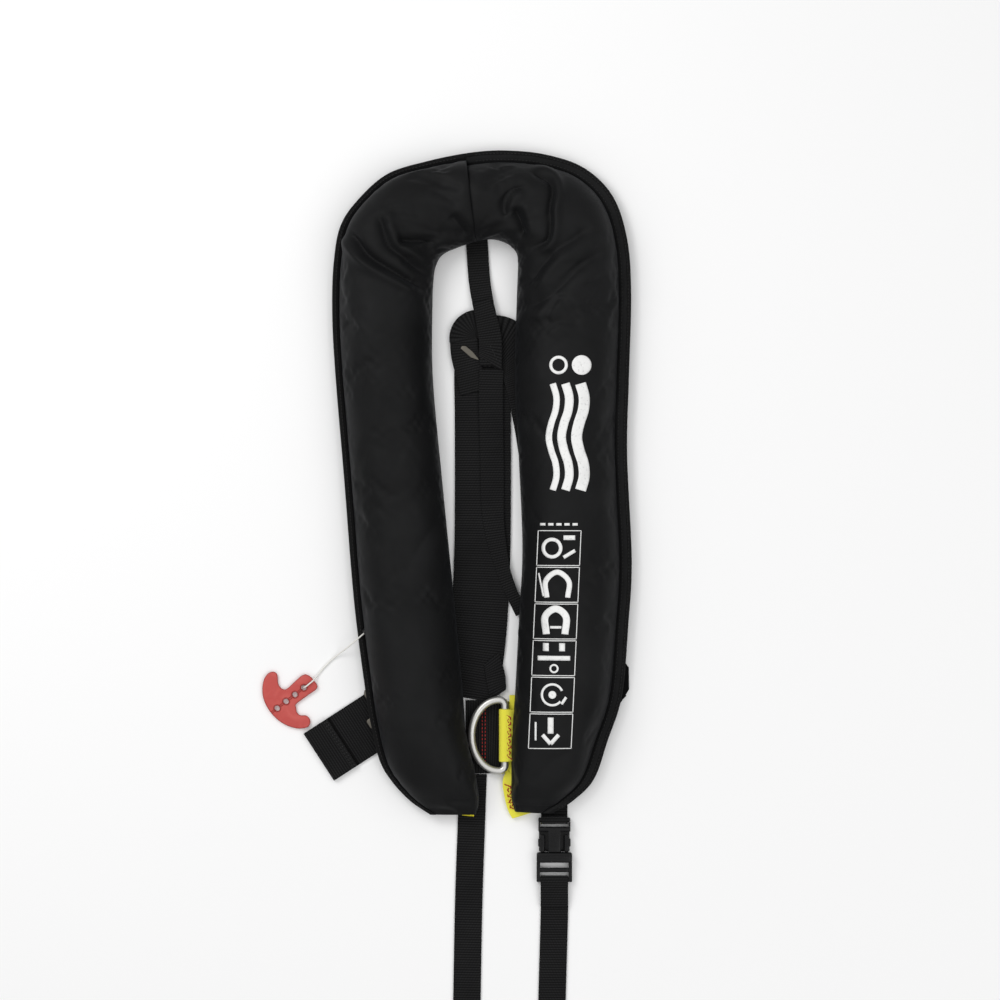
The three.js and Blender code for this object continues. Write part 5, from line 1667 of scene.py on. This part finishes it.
@dataclass
class Buckle:
    """The side-release buckle of the crotch strap: socket, plug and two spring arms."""

    x: float = 65.0
    top: float = -540.0
    width: float = 31.0
    height: float = 9.0

    def part(self, name: str, boxes: Sequence[tuple[Point, Point, float]], node: str, body: str) -> bpy.types.Object:
        """One moulding made of rounded blocks.

        Args:
            name: the piece's name.
            boxes: low corner, high corner and edge radius of each block.
            node: the CAD node it stands for.
            body: the body it rides on.

        Returns:
            The piece.
        """
        blocks = [dress(box_body(f"{name}_{i}", low, high, bevel), BLACK_PLASTIC)
                  for i, (low, high, bevel) in enumerate(boxes)]
        thing = joined(name, blocks)
        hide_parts(node)
        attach(thing, body)
        return thing

    def build(self) -> None:
        """Makes the buckle's four pieces."""
        x, t, high = self.x, self.top, self.height
        half = self.width / 2 - 1.5
        strap = 12.5
        self.part("buckle_socket_moulding", [
            ((x - half, t - 12, 0.02), (x + half, t - 8, high), 1.5),
            ((x - half, t - 12, 0.02), (x - strap, t - 3.4, high), 0.7),
            ((x + strap, t - 12, 0.02), (x + half, t - 3.4, high), 0.7),
            ((x - half, t - 4, 2.3), (x + half, t, 5.0), 1.1),
            ((x - half + 0.6, t - 29.6, 0.02), (x + half - 0.6, t - 10, 1.5), 0.6),
            ((x - 5.5, t - 30, 0.02), (x + 5.5, t - 10, 2.5), 0.6),
            ((x - 5.5, t - 30, 6.5), (x + 5.5, t - 10, high), 0.8),
            ((x - 5.5, t - 30, 0.6), (x - 3.5, t - 10, high - 0.6), 0.4),
            ((x + 3.5, t - 30, 0.6), (x + 5.5, t - 10, high - 0.6), 0.4),
            *[((x - 4.2, t - 15 - 2.2 * i, high - 0.5), (x + 4.2, t - 14 - 2.2 * i, high + 0.35), 0.3)
              for i in range(6)]], "buckle_socket", "jacket")
        p = t - 12 - 18 - 0.3
        low, end = p - 9, p - 26
        half = self.width / 2
        self.part("buckle_plug_moulding", [
            ((x - half, low, 0.02), (x + half, p, high), 1.8),
            ((x - 3, p - 1, 3), (x + 3, p + 15, 6), 0.8),
            ((x - half, end, 0.02), (x - half + 3, low + 1, 6), 0.8),
            ((x + half - 3, end, 0.02), (x + half, low + 1, 6), 0.8),
            ((x - half + 1, end, 2.6), (x + half - 1, end + 4, 5.4), 1.2),
            ((x - half + 1, end + 8.5, 2.6), (x + half - 1, end + 12.5, 5.4), 1.2),
            ((x - half + 3, low + 2.6, high - 0.5), (x + half - 3, low + 3.8, high + 0.4), 0.4),
            ((x - half + 3, low + 5.4, high - 0.5), (x + half - 3, low + 6.6, high + 0.4), 0.4)],
            "buckle_plug", "plug")
        for side in Side:
            s = side.value
            inner = x + s * 8.6
            shaft = sorted((inner, inner + s * 4))
            pad = sorted((inner + s * 3, inner + s * 5.6))
            blocks = [((shaft[0], p + 0.3, 2), (shaft[1], p + 15.5, 7), 1.0),
                      ((pad[0], p + 5, 2), (pad[1], p + 12, 7), 0.9)]
            blocks += [((shaft[0] + 0.5, p + 5.4 + 1.9 * i, 6.6), (shaft[1] + 0.2, p + 6.3 + 1.9 * i, 7.3), 0.3)
                       for i in range(4)]
            name = side.name.lower()
            self.part(f"latch_arm_{name}_moulding", blocks, f"latch_arm_{name}", f"latch_{name}")


# ---------------------------------------------------------------- print

@dataclass
class Print:
    """White ink on the right lobe: an abstract wave mark and a column of six framed signs."""

    lift: float = 0.14
    frame: float = 0.7

    def bar(self, start: Point, end: Point, width: float) -> list[Array]:
        """A straight stroke as small quads."""
        start, end = np.asarray(start, float), np.asarray(end, float)
        way = unit(end - start)
        side = np.array([-way[1], way[0]]) * width / 2
        count = max(1, round(np.linalg.norm(end - start) / 1.5))
        stops = [start + (end - start) * i / count for i in range(count + 1)]
        across = max(1, round(width / 2))
        return [np.array([a + side * u, b + side * u, b + side * v, a + side * v])
                for a, b in zip(stops, stops[1:])
                for u, v in zip(np.linspace(-1, 1, across + 1), np.linspace(-1, 1, across + 1)[1:])]

    def path(self, places: Sequence[Point], width: float) -> list[Array]:
        """A curved stroke as quads that share their edges."""
        line = even_line(places, 1.4)
        way = unit(np.vstack([line[1:], line[-1:]]) - np.vstack([line[:1], line[:-1]]))
        side = np.stack([-way[:, 1], way[:, 0]], 1) * width / 2
        return self.bands([line + side * share for share in np.linspace(-1, 1, max(1, round(width / 1.4)) + 1)])

    def bands(self, lines: Sequence[Array]) -> list[Array]:
        """Quads between lines of equal length that lie beside each other."""
        return [np.array([a[i], a[i + 1], b[i + 1], b[i]])
                for a, b in zip(lines, lines[1:]) for i in range(len(a) - 1)]

    def ring(self, middle: Point, radius: float, width: float, start: float = 0, end: float = 2 * math.pi) -> list[Array]:
        """An arc stroke; a disc where the width is the radius."""
        turn = np.linspace(start, end, max(8, round(radius * (end - start) / 1.0)) + 1)
        inner = max(radius - width, 0.05)
        spot = np.asarray(middle, float)
        way = np.stack([np.cos(turn), np.sin(turn)], 1)
        return self.bands([spot + way * far for far in np.linspace(inner, radius, max(1, round(width / 1.4)) + 1)])

    def mark(self) -> list[Array]:
        """Three waves of growing weight beside each other and a solid disc, up the lobe."""
        quads = []
        for x, width, reach in ((63, 5.5, 1.0), (74, 7.5, 1.0), (87, 9.5, 1.0)):
            ys = np.linspace(-254, -254 + 92 * reach, 9)
            quads += self.path([(x + 3.4 * math.sin((y + 254) / 92 * 3 * math.pi), y) for y in ys], width)
        quads += self.ring((88, -146), 8.5, 8.45)
        quads += self.ring((68, -146), 8.0, 2.6)
        return quads

    def signs(self) -> list[Array]:
        """Six framed signs in a column that follows the lobe's lean."""
        quads = []
        tops = np.linspace(-289, -479, 7)
        width = 37.0
        for i, (top, low) in enumerate(zip(tops, tops[1:])):
            left = 50.5 - 0.045 * (-289 - top)
            right, low = left + width, low + 1.6
            slip = 0.045 * (top - low)
            corners = [(left, top), (right, top), (right - slip, low), (left - slip, low)]
            for a, b in zip(corners, corners[1:] + corners[:1]):
                quads += self.bar(a, b, self.frame)
            quads += self.sign(i, (left + width / 2 - slip / 2, (top + low) / 2))
        return quads

    def sign(self, number: int, middle: Point) -> list[Array]:
        """One sign: plain shapes for a loop, a strap, a buckle, a ring, a pull and an arrow."""
        x, y = middle
        bar, ring = self.bar, self.ring
        if number == 0:
            return ring((x - 6, y), 9, 3) + bar((x + 4, y + 9), (x + 14, y + 9), 4) + bar((x + 4, y - 8), (x + 14, y - 2), 3)
        if number == 1:
            return (self.path([(x - 9, y - 11), (x - 10, y + 3), (x, y + 11), (x + 10, y + 3), (x + 9, y - 11)], 4.5)
                    + bar((x - 16, y + 10), (x - 12, y - 10), 1.4))
        if number == 2:
            return (self.path([(x - 8, y - 11), (x - 9, y + 4), (x, y + 11), (x + 9, y + 4), (x + 8, y - 11)], 6)
                    + bar((x - 5, y - 5), (x + 5, y - 5), 2.2))
        if number == 3:
            return (bar((x - 14, y), (x + 14, y), 4) + bar((x - 7, y + 6), (x - 7, y + 13), 5)
                    + bar((x + 7, y + 6), (x + 7, y + 13), 5) + ring((x, y - 9), 4, 1.6))
        if number == 4:
            return (ring((x, y), 10, 2, 0.4, 5.6) + bar((x + 8, y - 8), (x + 12, y - 2), 2.4) + ring((x, y), 3.4, 3.3))
        return (bar((x, y + 12), (x, y - 2), 5) + bar((x - 7, y - 3), (x, y - 11), 3.4) + bar((x + 7, y - 3), (x, y - 11), 3.4)
                + bar((x - 13, y + 8), (x - 13, y - 8), 1.6))

    def build(self, cover: BVHTree) -> bpy.types.Object:
        """Lays the print on the cover.

        Args:
            cover: the finished cover's surface.

        Returns:
            The printed layer.
        """
        caption = [self.bar((52 + 7 * i, -283.5), (52 + 7 * i + 4.6, -283.5), 2.2) for i in range(5)]
        quads = self.mark() + self.signs() + [quad for part in caption for quad in part]
        points, faces = [], []
        for quad in quads:
            corners = []
            for x, y in quad:
                place, normal, _, _ = cover.ray_cast(Vector((x * MM, y * MM, 0.2)), Vector((0, 0, -1)))
                corners.append(place + Vector((0, 0, 1)) * self.lift * MM)
            faces.append(range(len(points), len(points) + 4))
            points += corners
        thing = make_mesh("print_layer", np.array([tuple(p) for p in points]), faces)
        work = bmesh.new()
        work.from_mesh(thing.data)
        bmesh.ops.remove_doubles(work, verts=work.verts, dist=2e-5)
        for face in work.faces:
            face.normal_update()
            if face.normal.z < 0:
                face.normal_flip()
        work.to_mesh(thing.data)
        work.free()
        modified(thing, "SOLIDIFY", thickness=0.0003, offset=-1)
        dress(thing, WHITE_INK)
        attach(thing, "jacket")
        return thing


@dataclass(frozen=True)
class Carried:
    """CAD nodes that keep their shape, with the finish each one gets."""

    finishes: tuple[tuple[Finish, tuple[str, ...]], ...] = (
        (CLOSURE_TAPE, ("loop_strip_left", "loop_strip_right", "hook_strip_left", "hook_strip_right")),
        (BLACK_PLASTIC, ("inflator_body", "cartridge_cap", "cord_grommet")),
        (STAINLESS, ("lever_pin",)),
        (BRASS, ("manifold_valve", "manifold_nut")),
        (GAS_STEEL, ("co2_cylinder",)),
        (WHITE_PLASTIC, ("sensing_cartridge", "oral_valve", "whistle")),
        (GREEN_PLASTIC, ("indicator_clip",)),
        (BLACK_RUBBER, ("oral_tube",)),
        (RED_PLASTIC, ("inflator_lever", "oral_cap")),
        (WHITE_CORD, ("whistle_lanyard",)),
    )

    def build(self) -> None:
        """Dresses the nodes."""
        for finish, names in self.finishes:
            for name in names:
                node = bpy.data.objects[name]
                for slot in node.material_slots:
                    slot.material = finish.material()


# ---------------------------------------------------------------- studio

@dataclass
class Studio:
    """A pale floor, soft light from all round with a brighter side, and the camera."""

    focus: tuple[float, float] = (0.0175, -0.2625)
    distance: float = 3.5
    lens: float = 144.0
    floor_tone: float = 0.93
    sky: float = 1.0
    horizon: float = 0.1

    def build(self) -> None:
        """Sets up camera, floor and lights."""
        scene = bpy.context.scene
        camera = bpy.data.objects.new("camera", bpy.data.cameras.new("camera"))
        camera.location = (*self.focus, self.distance)
        camera.data.lens = self.lens
        camera.data.sensor_width = 36
        scene.collection.objects.link(camera)
        scene.camera = camera
        scene.view_settings.view_transform = "Standard"
        world = bpy.data.worlds.new("studio")
        world.use_nodes = True
        tree = world.node_tree
        tree.nodes["Background"].inputs["Color"].default_value = (1, 1, 1, 1)
        way = tree.nodes.new("ShaderNodeTexCoord").outputs["Generated"]
        parts = tree.nodes.new("ShaderNodeSeparateXYZ")
        ramp = tree.nodes.new("ShaderNodeMapRange")
        ramp.interpolation_type = "SMOOTHSTEP"
        tree.links.new(way, parts.inputs[0])
        tree.links.new(parts.outputs["Z"], ramp.inputs["Value"])
        for name, value in (("From Min", 0.05), ("From Max", 0.9), ("To Min", self.horizon), ("To Max", self.sky)):
            ramp.inputs[name].default_value = value
        tree.links.new(ramp.outputs[0], tree.nodes["Background"].inputs["Strength"])
        scene.world = world
        self.floor()
        self.lamp("key", (-0.9, 0.5, 1.3), 0.8, 9)
        self.lamp("fill", (1.0, -0.9, 1.5), 1.0, 4)

    def floor(self) -> None:
        """A plain pale floor just under the jacket."""
        w = Wiring("floor_paint")
        tone = (self.floor_tone,) * 3
        paint = w.surface(Base_Color=(*tone, 1), Roughness=0.9, Specular_IOR_Level=0.1)
        size = 6.0
        thing = make_mesh("floor", [(-size, -size, -0.0004), (size, -size, -0.0004), (size, size, -0.0004),
                                    (-size, size, -0.0004)], [[0, 1, 2, 3]], smooth=False)
        thing.data.materials.append(paint)

    def lamp(self, name: str, place: Point, size: float, power: float) -> None:
        """A square soft light aimed at the jacket's middle."""
        light = bpy.data.lights.new(name, "AREA")
        light.size = size
        light.energy = power
        lamp = bpy.data.objects.new(name, light)
        lamp.location = place
        aim = Vector((*self.focus, 0)) - Vector(place)
        lamp.rotation_euler = aim.to_track_quat("-Z", "Y").to_euler()
        bpy.context.scene.collection.objects.link(lamp)


def main() -> None:
    """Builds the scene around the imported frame."""
    logging.basicConfig(level=logging.INFO, format="%(message)s")
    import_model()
    Studio().build()
    PullCord().build(Handle().build())
    left = CoverHalf(Side.LEFT, 0, NAPE, 5, LEFT_CREASES, 5)
    right = CoverHalf(Side.RIGHT, NAPE, 1, 9.5, RIGHT_CREASES, 9, hem=8, slope=1.0)
    left.build()
    cover = right.build()
    left.stitching(((1.7, 1.05),))
    right.stitching(((1.2, 1.05), (6.6, 0.62)))
    Print().build(surface_of(cover))
    Panel().build()
    Bladder().build()
    Strap("bladder_corner_cloth", (), [(-15.5, -535.6, 5.2), (-10, -536.2, 5.2), (-5, -536.6, 5.2)], (4.6,), 1.0,
          YELLOW_NYLON, "bladder_cloth", rib_depth=0.02).build()
    Binding(Side.LEFT, 0, NAPE, 3.2).build()
    Binding(Side.RIGHT, NAPE, 1, 2.2).build()
    Harness().build()
    Becket().build()
    CrotchStrap().build()
    Ring().build()
    BeltHook().build()
    Buckle().build()
    Carried().build()


if __name__ == "__main__":
    main()
